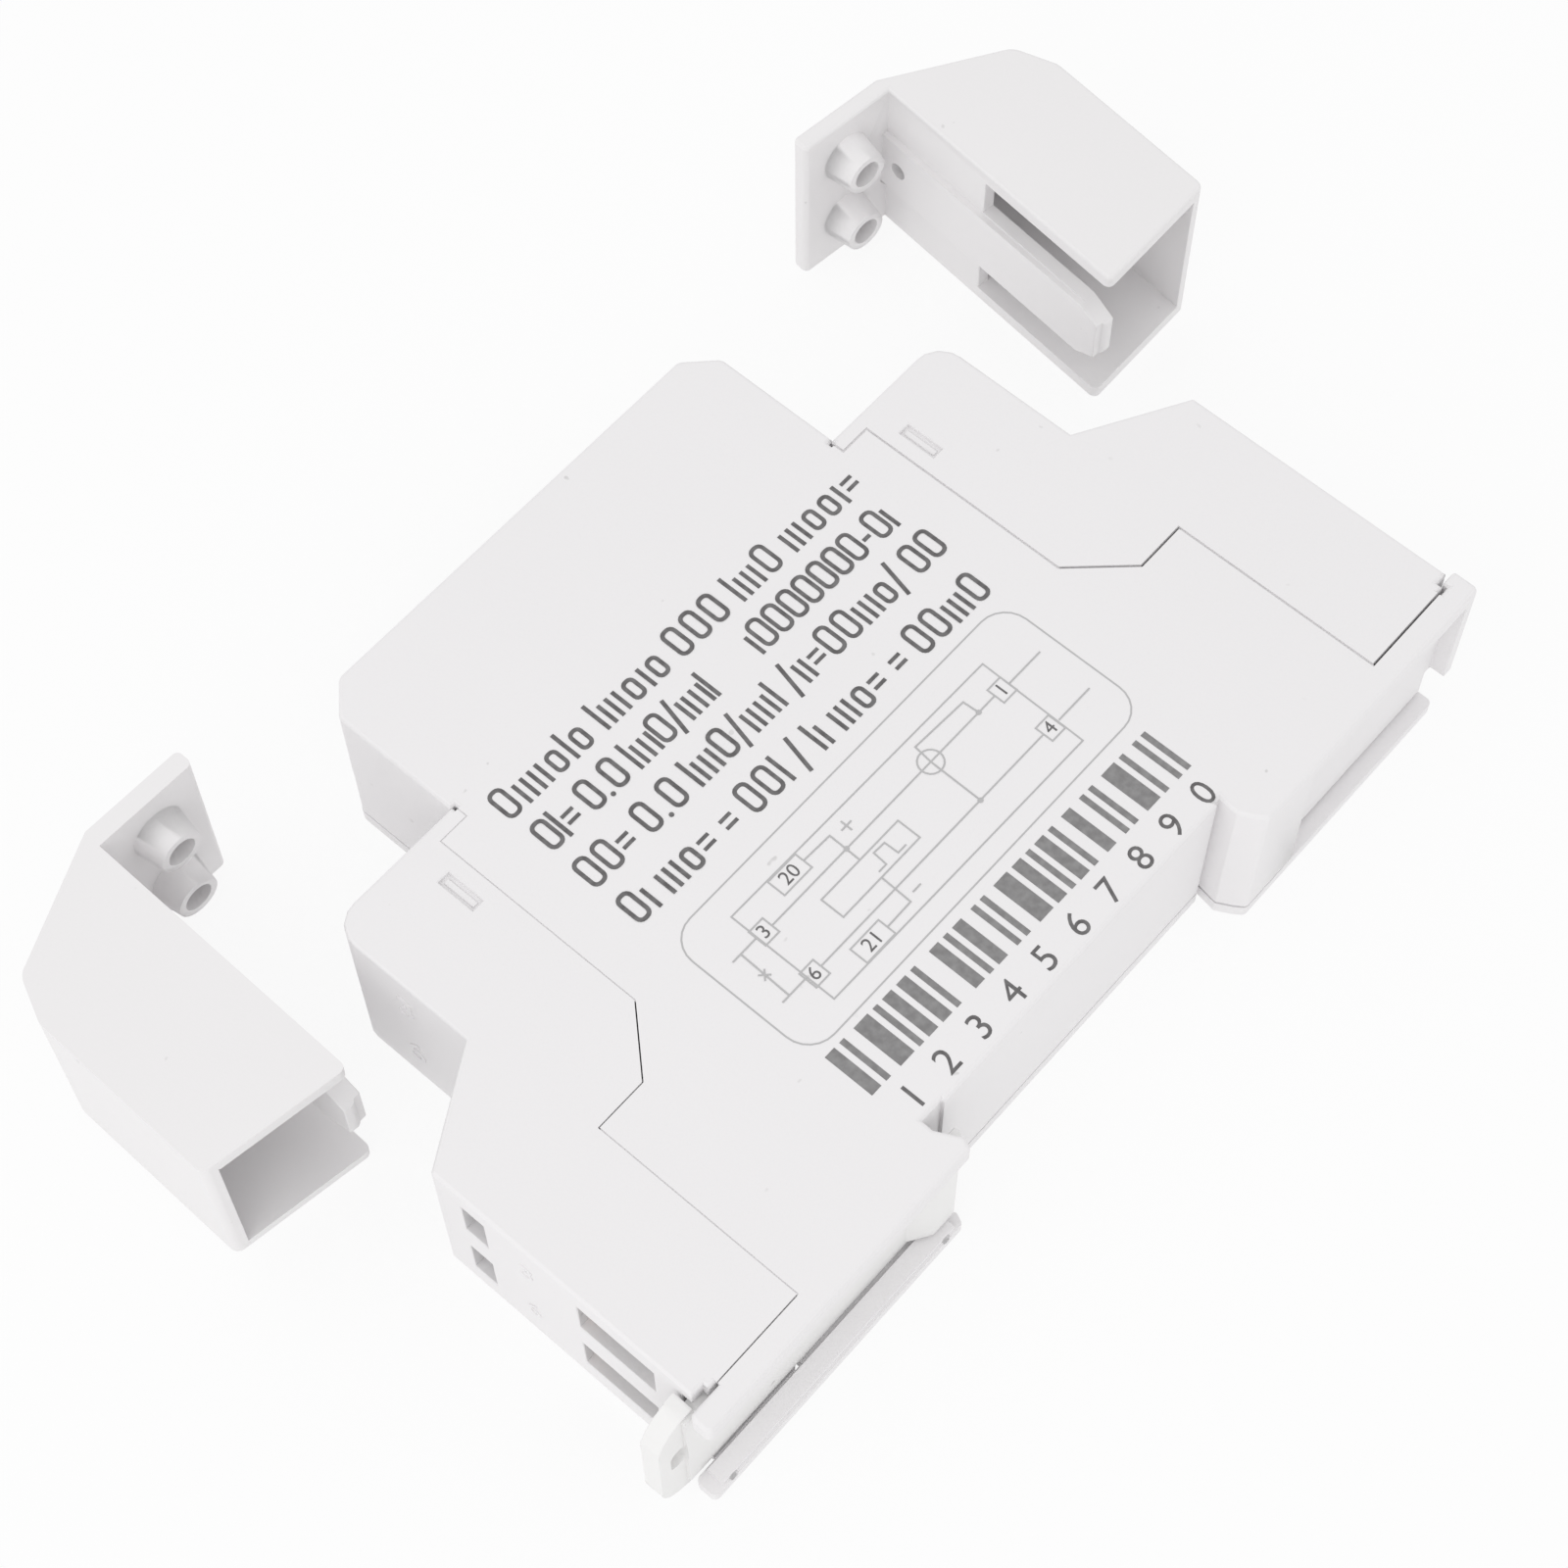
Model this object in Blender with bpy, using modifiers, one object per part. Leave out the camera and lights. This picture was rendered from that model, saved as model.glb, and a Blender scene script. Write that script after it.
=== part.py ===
"""One-module DIN rail energy meter, lying on its flat side with its two terminal covers taken off beside it.

X runs along the meter, +Y from the rail seat to the front, +Z up through the module's width.
The origin is the middle of the rail seat. Sizes are in millimetres and become metres as meshes are made.
"""
import math

import bmesh
import bpy
from mathutils import Matrix, Vector

MM = 0.001
FILL_TURN = 0.35
# A cutter runs this far past the faces it opens, and a joined piece reaches this far into its body
PAST = 1.0
ROOT = 0.5

# Overall sizes
MODULE_WIDTH = 17.5
BODY_LENGTH = 90.0
NOSE_LENGTH = 45.0
SHOULDER_LENGTH = 71.4
NOSE_FRONT = 59.0
SHOULDER_FRONT = 44.3
TERRACE_INNER = 30.0
TERRACE_OUTER = 24.6
NOSE_CHAMFER = 2.6
SHOULDER_ROUND = 2.6

# Walls and running gaps
WALL = 1.5
BLOCK_WALL = 1.3
BACK_PLATE = 1.6
GAP = 0.3
EDGE_ROUND = 0.35

# Rail slot, its hooks and the feet on each side of it
FOOT_DEPTH = 3.8
SLOT_UPPER = 17.2
SLOT_LOWER = 18.3
HOOK_UPPER = 16.9
HOOK_LOWER = 17.2
HOOK_NOSE = 1.6
HOOK_SHANK = 0.4
HOOK_SHANK_DROP = 1.3
HOOK_HEEL = 1.0
HOOK_LOWER_TIP = 0.9
HOOK_LOWER_STEP = 0.8
RAIL_LIP = 1.0
SEAT_RELIEF = 0.3
SEAT_RELIEF_UPPER = 0.6
SEAT_RELIEF_LOWER = 2.2
UPPER_OVERHANG = 0.6
LOWER_OVERHANG = 1.2
STRIP_TOP = -1.8
END_NUB = 0.5
END_NUB_INSET = 0.9
FOOT_RECESS = 1.4
FIXED_HOOK_LENGTH = 7.0
END_WALL = 1.4
END_WALL_FOOT = 5.0
END_NOTCH = 0.6
FOOT_ROUND = 0.5

# Seam between the case and the two terminal blocks
BLOCK_DEPTH = 10.8
SEAM_SLOPE_TOP = 22.6
SEAM_SLOPE_BOTTOM = 17.6
SEAM_SLOPE_RUN = 4.6
SEAM_STEP = 1.6
SEAM_TUCK = 0.5
NECK_PASS_LOW = 24.3

# Snap arms that hold the blocks, and the slots they show in
SNAP_LOW = 36.9
SNAP_LENGTH = 3.7
SNAP_SLOT = 1.2
SNAP_SLOT_INSET = 1.6
SNAP_ARM = 1.3

# Main terminals, four alike
TERMINAL_OFFSET = 4.05
TERMINAL_INSET = 5.1
CHAMBER_LOW = 1.8
CHAMBER_WIDTH = 6.8
CHAMBER_TOP = 23.0
CHAMBER_MARGIN = 0.8
DOOR_INSET = 0.6
ENTRY_LOW = 2.8
ENTRY_HEIGHT = 7.5
ENTRY_WIDTH = 4.6
SIGHT_LOW = 19.6
SIGHT_HEIGHT = 2.3
SIGHT_WIDTH = 4.8
WELL_RADIUS = 2.8
CAGE_LENGTH = 6.6
CAGE_WALL = 0.7
CAGE_FLOOR = 0.8
CAGE_CROWN = 1.2
WIRE_ROOM = 6.0
SCREW_RADIUS = 2.0
SCREW_HEAD_RADIUS = 2.5
SCREW_HEAD = 1.8
SCREW_SLOT = 0.8
SCREW_EASE = 0.3
SLOT_SHARE = 0.55
CROSS_SHARE = 0.72
CLAMP_TRAVEL = 5.6

# Busbars
BAR_LOW = 9.6
BAR_THICK = 1.0
BAR_WIDTH = 4.2
SHUNT_LENGTH = 15.4
SHUNT_THICK = 1.6
SHUNT_WAIST = 0.45

# Pulse output terminals in the upper shoulder, two alike
PULSE_INSET = 5.1
PULSE_CHAMBER_LOW = 31.9
PULSE_CHAMBER_TOP = 41.6
PULSE_CHAMBER_LENGTH = 7.9
PULSE_WELL_RADIUS = 2.1
PULSE_ENTRY_RADIUS = 1.6
PULSE_ENTRY_Y = 35.0
PULSE_CAGE_LENGTH = 4.4
PULSE_CAGE_WIDTH = 4.4
PULSE_CAGE_WALL = 0.6
PULSE_CAGE_CROWN = 1.0
PULSE_WIRE_ROOM = 3.0
PULSE_SCREW_RADIUS = 1.3
PULSE_HEAD_RADIUS = 1.8
PULSE_HEAD = 1.5
PULSE_TRAVEL = 2.6
PULSE_BAR_LOW = 36.4
PULSE_BAR_THICK = 0.8
PULSE_BAR_WIDTH = 2.4
TAIL_FOOT = 2.0

# Display, behind the window in the nose's front wall
LAMP_BAY = 5.5
WINDOW_MARGIN = 2.45
WINDOW_THICK = 1.0
VIEW_MARGIN = 2.5
VIEW_SIDE_MARGIN = 1.5
GLASS_MARGIN = 1.0
GLASS_THICK = 1.0
HOLDER_DEPTH = 3.4
HOLDER_RIM = 0.9
LAMP_INSET = 3.5
LAMP_RADIUS = 1.0
LAMP_LENGTH = 3.0
SNAP_SLIT_LENGTH = 6.2
SNAP_SLIT = 0.8
SNAP_SLIT_DROP = 1.7
SNAP_SLIT_DEPTH = 0.7
NOSE_ROUND = 1.0

# Circuit board and what stands on it
BOARD_LEVEL = -2.0
BOARD_THICK = 1.2
BOARD_LOW = 17.2
BOARD_MARGIN = 0.5
BOARD_EAR = 2.6
BOARD_EAR_LENGTH = 4.0
BOARD_EAR_RAISE = 1.0
BOARD_CORNER = 2.5
BOARD_HOLE_INSET = 3.0
BOARD_HOLE_RADIUS = 1.1
FILM_INSET = 2.9
FILM_RAISE = 1.2
FILM_END = -2.0
FILM_DEPTH = 8.5
FILM_HEIGHT = 7.6
CAN_INSET = 13.9
CAN_BACK = 23.0
CAN_RADIUS = 3.15
CAN_LENGTH = 11.0
CAN_GROOVE = 1.4
CAN_CRIMP = 0.4
VARISTOR_INSET = 5.4
VARISTOR_Y = 22.5
VARISTOR_RADIUS = 3.4
VARISTOR_THICK = 3.2
CHIP_X = -8.0
CHIP_Y = 36.0
CHIP_PINS = 8
CHIP_LENGTH = 10.0
CHIP_WIDTH = 5.3
CHIP_HEIGHT = 1.9
COUPLER_INSET = 6.4
COUPLER_Y = 31.5
COUPLER_PINS = 2
COUPLER_LENGTH = 4.6
COUPLER_WIDTH = 6.4
COUPLER_HEIGHT = 3.0
PIN_WIDTH = 0.5
PIN_THICK = 0.3
PIN_REACH = 1.0

# Rail clip, slid outwards to free the rail
CLIP_TIP = 16.4
CLIP_LOW = -1.65
CLIP_THICK = 1.25
CLIP_NOSE = 1.2
CLIP_NOSE_LOW = -2.9
CLIP_NOSE_TIP = 0.7
CLIP_NOSE_FLAT = 2.4
CLIP_NOSE_RAMP = 2.5
CLIP_STEP = 0.4
CLIP_TAB_REACH = 4.1
CLIP_TAB_ROOT = 2.6
CLIP_TAB_LOW = -1.3
CLIP_TAB_THICK = 1.8
CLIP_TAB_DROP = 1.0
CLIP_TAB_ROUND = 3.5
CLIP_HOLE_LENGTH = 3.2
CLIP_HOLE_WIDTH = 1.5
CLIP_HOLE_INSET = 1.9
LIP_DEPTH = 1.85
LIP_PROUD = 0.5
LIP_INSET = 1.1
LIP_HOLE_RADIUS = 0.45
LIP_HOLE_INSET = 2.2

# Terminal covers: s runs along the cover from its open end, t outwards from the wall that meets the meter
COVER_LENGTH = 29.0
COVER_REACH = 13.0
COVER_WALL = 1.3
COVER_SKEW = 1.8
COVER_SHOULDER = 19.6
COVER_SLANT_T = 11.3
COVER_SLANT_S = 23.6
COVER_CORNER = 2.0
COVER_ROOM_CORNER = 1.2
PLATE_ROUND = 0.5
PLATE_REACH = 9.7
PLATE_THICK = 1.7
BOSS_INSET = 5.0
BOSS_BASE_RADIUS = 2.5
BOSS_TIP_RADIUS = 2.0
BOSS_LENGTH = 2.8
BOSS_HOLE_RADIUS = 1.35
BOSS_HOLE_DEPTH = 3.2
TONGUE_WIDTH = 6.6
TONGUE_PROUD = 0.6
TONGUE_CHAMFER = 1.4
TONGUE_CHAMFER_RISE = 3.0
COVER_SLOT_START = 15.1
SEAL_HOLE_RADIUS = 0.85
SEAL_HOLE_INSET = 3.8
UPPER_COVER_GAP = 14.0
UPPER_COVER_RISE = 7.1
UPPER_COVER_TURN = -6.8
LOWER_COVER_GAP = 7.4
LOWER_COVER_RISE = 5.0
LOWER_COVER_TURN = -1.2

# Values worked out from the sizes above
HALF_WIDTH = MODULE_WIDTH / 2
HALF_BODY = BODY_LENGTH / 2
HALF_NOSE = NOSE_LENGTH / 2
HALF_SHOULDER = SHOULDER_LENGTH / 2
NECK = HALF_SHOULDER - BLOCK_DEPTH
WAIST = HALF_BODY - BLOCK_DEPTH
UPPER_STRIP_END = HALF_BODY + UPPER_OVERHANG
LOWER_STRIP_END = HALF_BODY + LOWER_OVERHANG
CLIP_TAB_OUT = HALF_BODY + CLIP_TAB_REACH
PLATE_TOP = -HALF_WIDTH + BACK_PLATE
SHELL_LOW = PLATE_TOP + GAP
ROOF = HALF_WIDTH - WALL
SEAM_SHELF = SHOULDER_FRONT - SEAM_STEP
FOOT_BACK = -FOOT_DEPTH
TERMINAL_X = HALF_BODY - TERMINAL_INSET
CHAMBER_INNER = TERMINAL_X - CAGE_LENGTH / 2 - CHAMBER_MARGIN
CHAMBER_OUTER = HALF_BODY - BLOCK_WALL
CAGE_WIDTH = CHAMBER_WIDTH - 2 * GAP
CAGE_LOW = BAR_LOW - WIRE_ROOM - CAGE_FLOOR
SCREW_TIP = BAR_LOW + BAR_THICK + GAP
CAGE_TOP = SCREW_TIP + CAGE_CROWN + 0.2
SCREW_UNDER_HEAD = CAGE_TOP + CLAMP_TRAVEL + GAP
PULSE_X = HALF_SHOULDER - PULSE_INSET
PULSE_CHAMBER_INNER = HALF_SHOULDER - BLOCK_WALL - PULSE_CHAMBER_LENGTH
PULSE_CAGE_LOW = PULSE_BAR_LOW - PULSE_WIRE_ROOM - PULSE_CAGE_WALL
PULSE_SCREW_TIP = PULSE_BAR_LOW + PULSE_BAR_THICK + GAP
PULSE_CAGE_TOP = PULSE_SCREW_TIP + PULSE_CAGE_CROWN + 0.2
PULSE_UNDER_HEAD = PULSE_CAGE_TOP + PULSE_TRAVEL + GAP
WINDOW_LENGTH = NOSE_LENGTH - 2 * LAMP_BAY
WINDOW_HEIGHT = MODULE_WIDTH - 2 * WINDOW_MARGIN
VIEW_LENGTH = WINDOW_LENGTH - 2 * VIEW_MARGIN
VIEW_HEIGHT = WINDOW_HEIGHT - 2 * VIEW_SIDE_MARGIN
GLASS_LENGTH = VIEW_LENGTH + 2 * GLASS_MARGIN
GLASS_HEIGHT = VIEW_HEIGHT + 2 * GLASS_MARGIN
LAMP_X = HALF_NOSE - LAMP_INSET
WINDOW_BACK = NOSE_FRONT - WINDOW_THICK
GLASS_FRONT = NOSE_FRONT - WALL - GAP
HOLDER_FRONT = GLASS_FRONT - GLASS_THICK - GAP
BOARD_FRONT = HOLDER_FRONT - HOLDER_DEPTH - GAP
BOARD_EDGE = NECK - WALL - BOARD_MARGIN

COLOURS = {
    "housing": ((0.86, 0.85, 0.86, 1), 0.55, 0.0),
    "cover": ((0.86, 0.85, 0.86, 1), 0.5, 0.0),
    "clip": ((0.88, 0.87, 0.87, 1), 0.4, 0.0),
    "window": ((0.9, 0.93, 0.95, 1), 0.08, 0.0),
    "display": ((0.42, 0.48, 0.38, 1), 0.12, 0.0),
    "holder": ((0.75, 0.75, 0.74, 1), 0.5, 0.0),
    "lamp": ((0.7, 0.04, 0.03, 1), 0.15, 0.0),
    "board": ((0.03, 0.22, 0.09, 1), 0.45, 0.0),
    "steel": ((0.62, 0.62, 0.63, 1), 0.3, 1.0),
    "copper": ((0.86, 0.5, 0.3, 1), 0.35, 1.0),
    "manganin": ((0.6, 0.5, 0.4, 1), 0.4, 1.0),
    "film": ((0.72, 0.6, 0.12, 1), 0.35, 0.0),
    "can": ((0.05, 0.06, 0.09, 1), 0.4, 0.0),
    "varistor": ((0.05, 0.2, 0.5, 1), 0.4, 0.0),
    "chip": ((0.02, 0.02, 0.022, 1), 0.5, 0.0),
}


def clear_scene():
    for thing in list(bpy.data.objects):
        bpy.data.objects.remove(thing, do_unlink=True)


def collection(name):
    group = bpy.data.collections.new(name)
    bpy.context.scene.collection.children.link(group)
    return group


clear_scene()
PARTS = collection("din_rail_energy_meter")
CUTTERS = collection("cutters")


def material(key):
    made = bpy.data.materials.get(key)
    if made:
        return made
    colour, roughness, metallic = COLOURS[key]
    made = bpy.data.materials.new(key)
    made.use_nodes = True
    shader = made.node_tree.nodes["Principled BSDF"]
    shader.inputs["Base Color"].default_value = colour
    shader.inputs["Roughness"].default_value = roughness
    shader.inputs["Metallic"].default_value = metallic
    return made


def add_object(name, mesh, finish=None):
    """Links a mesh as a part with its material, or as a hidden cutter when no finish is given."""
    thing = bpy.data.objects.new(name, mesh)
    if finish:
        PARTS.objects.link(thing)
        mesh.materials.append(material(finish))
    else:
        CUTTERS.objects.link(thing)
        thing.hide_render = True
        thing.display_type = "WIRE"
    return thing


def rounded(points, steps=4):
    """Turns corners given as (x, y, radius) into short arcs; corners given as (x, y) stay sharp."""
    result = []
    count = len(points)
    for index, point in enumerate(points):
        corner = Vector(point[:2])
        if len(point) < 3:
            result.append(corner)
            continue
        before = (Vector(points[index - 1][:2]) - corner).normalized()
        after = (Vector(points[(index + 1) % count][:2]) - corner).normalized()
        half_angle = before.angle(after) / 2
        reach = point[2] / math.tan(half_angle)
        start = corner + before * reach
        end = corner + after * reach
        centre = corner + (before + after).normalized() * (point[2] / math.sin(half_angle))
        for step in range(steps + 1):
            mixed = (start - centre).lerp(end - centre, step / steps)
            result.append(centre + mixed.normalized() * point[2])
    return result


def inset(points, distance):
    """Moves every edge of a counter-clockwise outline inwards by one distance; corner radii stay."""
    count = len(points)
    lines = []
    for index in range(count):
        start = Vector(points[index][:2])
        along = (Vector(points[(index + 1) % count][:2]) - start).normalized()
        lines.append((start + Vector((-along.y, along.x)) * distance, along))
    result = []
    for index in range(count):
        start, along = lines[index - 1]
        other, onward = lines[index]
        cross = along.x * onward.y - along.y * onward.x
        step = ((other - start).x * onward.y - (other - start).y * onward.x) / cross
        result.append(tuple(start + along * step) + tuple(points[index][2:]))
    return result


def mirrored(points):
    """The same outline on the other side of x = 0, still counter-clockwise."""
    return [(-point[0],) + tuple(point[1:]) for point in reversed(points)]


def prism(name, outline, low, high, finish=None, round_rim=None):
    """A flat outline in x and y, filled as a curve in millimetres and extruded from z = low to z = high.

    The curve is filled turned by FILL_TURN, since filling goes wrong on several corners at one height.
    """
    curve = bpy.data.curves.new(name, "CURVE")
    curve.dimensions = "2D"
    curve.fill_mode = "BOTH"
    curve.extrude = (high - low) / 2
    spline = curve.splines.new("POLY")
    spline.points.add(len(outline) - 1)
    for node, point in zip(spline.points, outline):
        turned = Matrix.Rotation(FILL_TURN, 2) @ Vector(point[:2])
        node.co = (turned.x, turned.y, 0, 1)
    spline.use_cyclic_u = True
    guide = bpy.data.objects.new(name + "_outline", curve)
    CUTTERS.objects.link(guide)
    guide.location.z = (high + low) / 2
    guide.rotation_euler.z = -FILL_TURN
    bpy.context.view_layer.update()
    mesh = bpy.data.meshes.new_from_object(guide.evaluated_get(bpy.context.evaluated_depsgraph_get()))
    solid = bmesh.new()
    solid.from_mesh(mesh)
    solid.transform(Matrix.Scale(MM, 4) @ guide.matrix_world)
    bmesh.ops.remove_doubles(solid, verts=solid.verts, dist=1e-6)
    bmesh.ops.recalc_face_normals(solid, faces=solid.faces)
    if round_rim is not None:
        rim = [edge for edge in solid.edges
               if all(abs(vert.co.z - round_rim * MM) < 1e-6 for vert in edge.verts)
               and abs(edge.link_faces[0].normal.dot(edge.link_faces[1].normal)) < 0.5]
        bmesh.ops.bevel(solid, geom=rim, offset=EDGE_ROUND * MM, segments=2, profile=0.5,
                        affect="EDGES", clamp_overlap=False, material=-1)
    solid.to_mesh(mesh)
    solid.free()
    mesh.name = name
    bpy.data.objects.remove(guide, do_unlink=True)
    return add_object(name, mesh, finish)


def box(name, low, high, finish=None, edge=0.0):
    """A box between two corners in millimetres, with its upright edges and rims rounded where asked."""
    low, high = Vector(low), Vector(high)
    solid = bmesh.new()
    bmesh.ops.create_cube(solid, size=1.0)
    bmesh.ops.scale(solid, vec=(high - low) * MM, verts=solid.verts)
    bmesh.ops.translate(solid, vec=(low + high) / 2 * MM, verts=solid.verts)
    if edge:
        bmesh.ops.bevel(solid, geom=solid.edges, offset=edge * MM, segments=2, profile=0.5,
                        affect="EDGES", clamp_overlap=True, material=-1)
    mesh = bpy.data.meshes.new(name)
    solid.to_mesh(mesh)
    solid.free()
    return add_object(name, mesh, finish)


def cylinder(name, start, end, radius, finish=None, end_radius=None, sides=24):
    """A cylinder or cone between two points in millimetres."""
    start, end = Vector(start), Vector(end)
    solid = bmesh.new()
    bmesh.ops.create_cone(solid, cap_ends=True, segments=sides, radius1=radius * MM,
                          radius2=(radius if end_radius is None else end_radius) * MM,
                          depth=(end - start).length * MM)
    turn = (end - start).to_track_quat("Z", "Y").to_matrix().to_4x4()
    solid.transform(Matrix.Translation((start + end) / 2 * MM) @ turn)
    mesh = bpy.data.meshes.new(name)
    solid.to_mesh(mesh)
    solid.free()
    return add_object(name, mesh, finish)


def combine(body, tool, operation):
    step = body.modifiers.new(operation.lower() + "_" + tool.name, "BOOLEAN")
    step.operation = operation
    step.solver = "EXACT"
    step.object = tool


def cut(body, *tools):
    for tool in tools:
        combine(body, tool, "DIFFERENCE")


def join(body, *tools):
    for tool in tools:
        combine(body, tool, "UNION")


def smooth(thing, degrees=35):
    thing.data.shade_smooth()
    thing.data.set_sharp_from_angle(angle=math.radians(degrees))


def turned_y(name, centre, profile, finish, steps=24):
    """A turned piece on an axis along +Y: profile is (radius, y), from the front's centre down and out."""
    mesh = bpy.data.meshes.new(name)
    shape = bmesh.new()
    verts = [shape.verts.new((radius * MM, 0, height * MM)) for radius, height in profile]
    for first, second in zip(verts, verts[1:]):
        shape.edges.new((first, second))
    shape.to_mesh(mesh)
    shape.free()
    thing = add_object(name, mesh, finish)
    thing.location = Vector((centre[0], 0, centre[1])) * MM
    thing.rotation_euler = (-math.pi / 2, 0, 0)
    screw = thing.modifiers.new("turn", "SCREW")
    screw.axis = "Z"
    screw.angle = 2 * math.pi
    screw.steps = steps
    screw.render_steps = steps
    screw.use_merge_vertices = True
    screw.merge_threshold = 1e-6
    screw.use_smooth_shade = False
    return thing


def side_outline():
    """The case's +X side, from the terminal seam's foot up to the nose's front corner."""
    return [
        (WAIST, STRIP_TOP),
        (WAIST, SEAM_SLOPE_BOTTOM),
        (NECK + SEAM_SLOPE_RUN, SEAM_SLOPE_BOTTOM),
        (NECK, SEAM_SLOPE_TOP),
        (NECK, SEAM_SHELF),
        (HALF_NOSE - SEAM_TUCK, SEAM_SHELF),
        (HALF_NOSE - SEAM_TUCK, SHOULDER_FRONT),
        (HALF_NOSE, SHOULDER_FRONT),
        (HALF_NOSE, NOSE_FRONT - NOSE_CHAMFER, NOSE_ROUND),
        (HALF_NOSE - NOSE_CHAMFER, NOSE_FRONT, NOSE_ROUND),
    ]


def case_outline(upper_end, nub):
    """Counter-clockwise outline of the case: seat, fixed hook, upper strip, nose, lower strip and hook."""
    upper_foot = [
        (SLOT_UPPER - SEAT_RELIEF_UPPER, 0),
        (SLOT_UPPER - SEAT_RELIEF_UPPER, SEAT_RELIEF),
        (SLOT_UPPER, SEAT_RELIEF),
        (HOOK_UPPER, -HOOK_NOSE, 0.3),
        (SLOT_UPPER + HOOK_SHANK, -HOOK_NOSE - HOOK_SHANK_DROP),
        (SLOT_UPPER + HOOK_HEEL, FOOT_BACK, FOOT_ROUND),
        (upper_end, FOOT_BACK, FOOT_ROUND),
        (upper_end, STRIP_TOP + nub, 0.3),
    ]
    if nub:
        upper_foot += [(HALF_BODY - END_NUB_INSET, STRIP_TOP + nub), (HALF_BODY - END_NUB_INSET, STRIP_TOP)]
    lower_foot = [
        (-LOWER_STRIP_END, STRIP_TOP, FOOT_ROUND),
        (-LOWER_STRIP_END, FOOT_BACK, FOOT_ROUND),
        (-HOOK_LOWER - HOOK_SHANK, FOOT_BACK, 0.3),
        (-HOOK_LOWER, FOOT_BACK + HOOK_LOWER_TIP, 0.3),
        (-SLOT_LOWER, -HOOK_NOSE + HOOK_LOWER_STEP),
        (-SLOT_LOWER, SEAT_RELIEF),
        (-SLOT_LOWER + SEAT_RELIEF_LOWER, SEAT_RELIEF),
        (-SLOT_LOWER + SEAT_RELIEF_LOWER, 0),
    ]
    return rounded(upper_foot + side_outline() + mirrored(side_outline()) + lower_foot)


def cavity_outline():
    """The room inside the case: its plain outline taken in by one wall."""
    right = [
        (WAIST, 0),
        (WAIST, SEAM_SLOPE_BOTTOM),
        (NECK + SEAM_SLOPE_RUN, SEAM_SLOPE_BOTTOM),
        (NECK, SEAM_SLOPE_TOP),
        (NECK, SEAM_SHELF),
        (HALF_NOSE, SEAM_SHELF),
        (HALF_NOSE, NOSE_FRONT - NOSE_CHAMFER),
        (HALF_NOSE - NOSE_CHAMFER, NOSE_FRONT),
    ]
    return inset(right + mirrored(right), WALL)


def end_box(name, side, low, high):
    """A tool box given for the +X end, placed at that end or mirrored to the other."""
    xs = sorted((side * low[0], side * high[0]))
    return box(name, (xs[0],) + tuple(low[1:]), (xs[1],) + tuple(high[1:]))


def snap_arm(side):
    """The hook on the case that shows in a terminal block's slot: its root, arm and tip, overlapping."""
    low, high = SNAP_LOW + GAP, SNAP_LOW + SNAP_LENGTH - GAP
    slot_inner = NECK + SNAP_SLOT_INSET
    tip = slot_inner + SNAP_SLOT - GAP
    under = HALF_WIDTH - BLOCK_WALL - GAP
    root = end_box("snap_root", side, (NECK - 2 * WALL, low, under - SNAP_ARM),
                   (NECK - 0.2, high, ROOF + ROOT))
    arm = end_box("snap_arm", side, (NECK - WALL, low, under - SNAP_ARM), (tip, high, under))
    hook = end_box("snap_hook", side, (slot_inner + GAP, low, under - ROOT), (tip, high, HALF_WIDTH - GAP))
    return root, arm, hook


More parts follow.
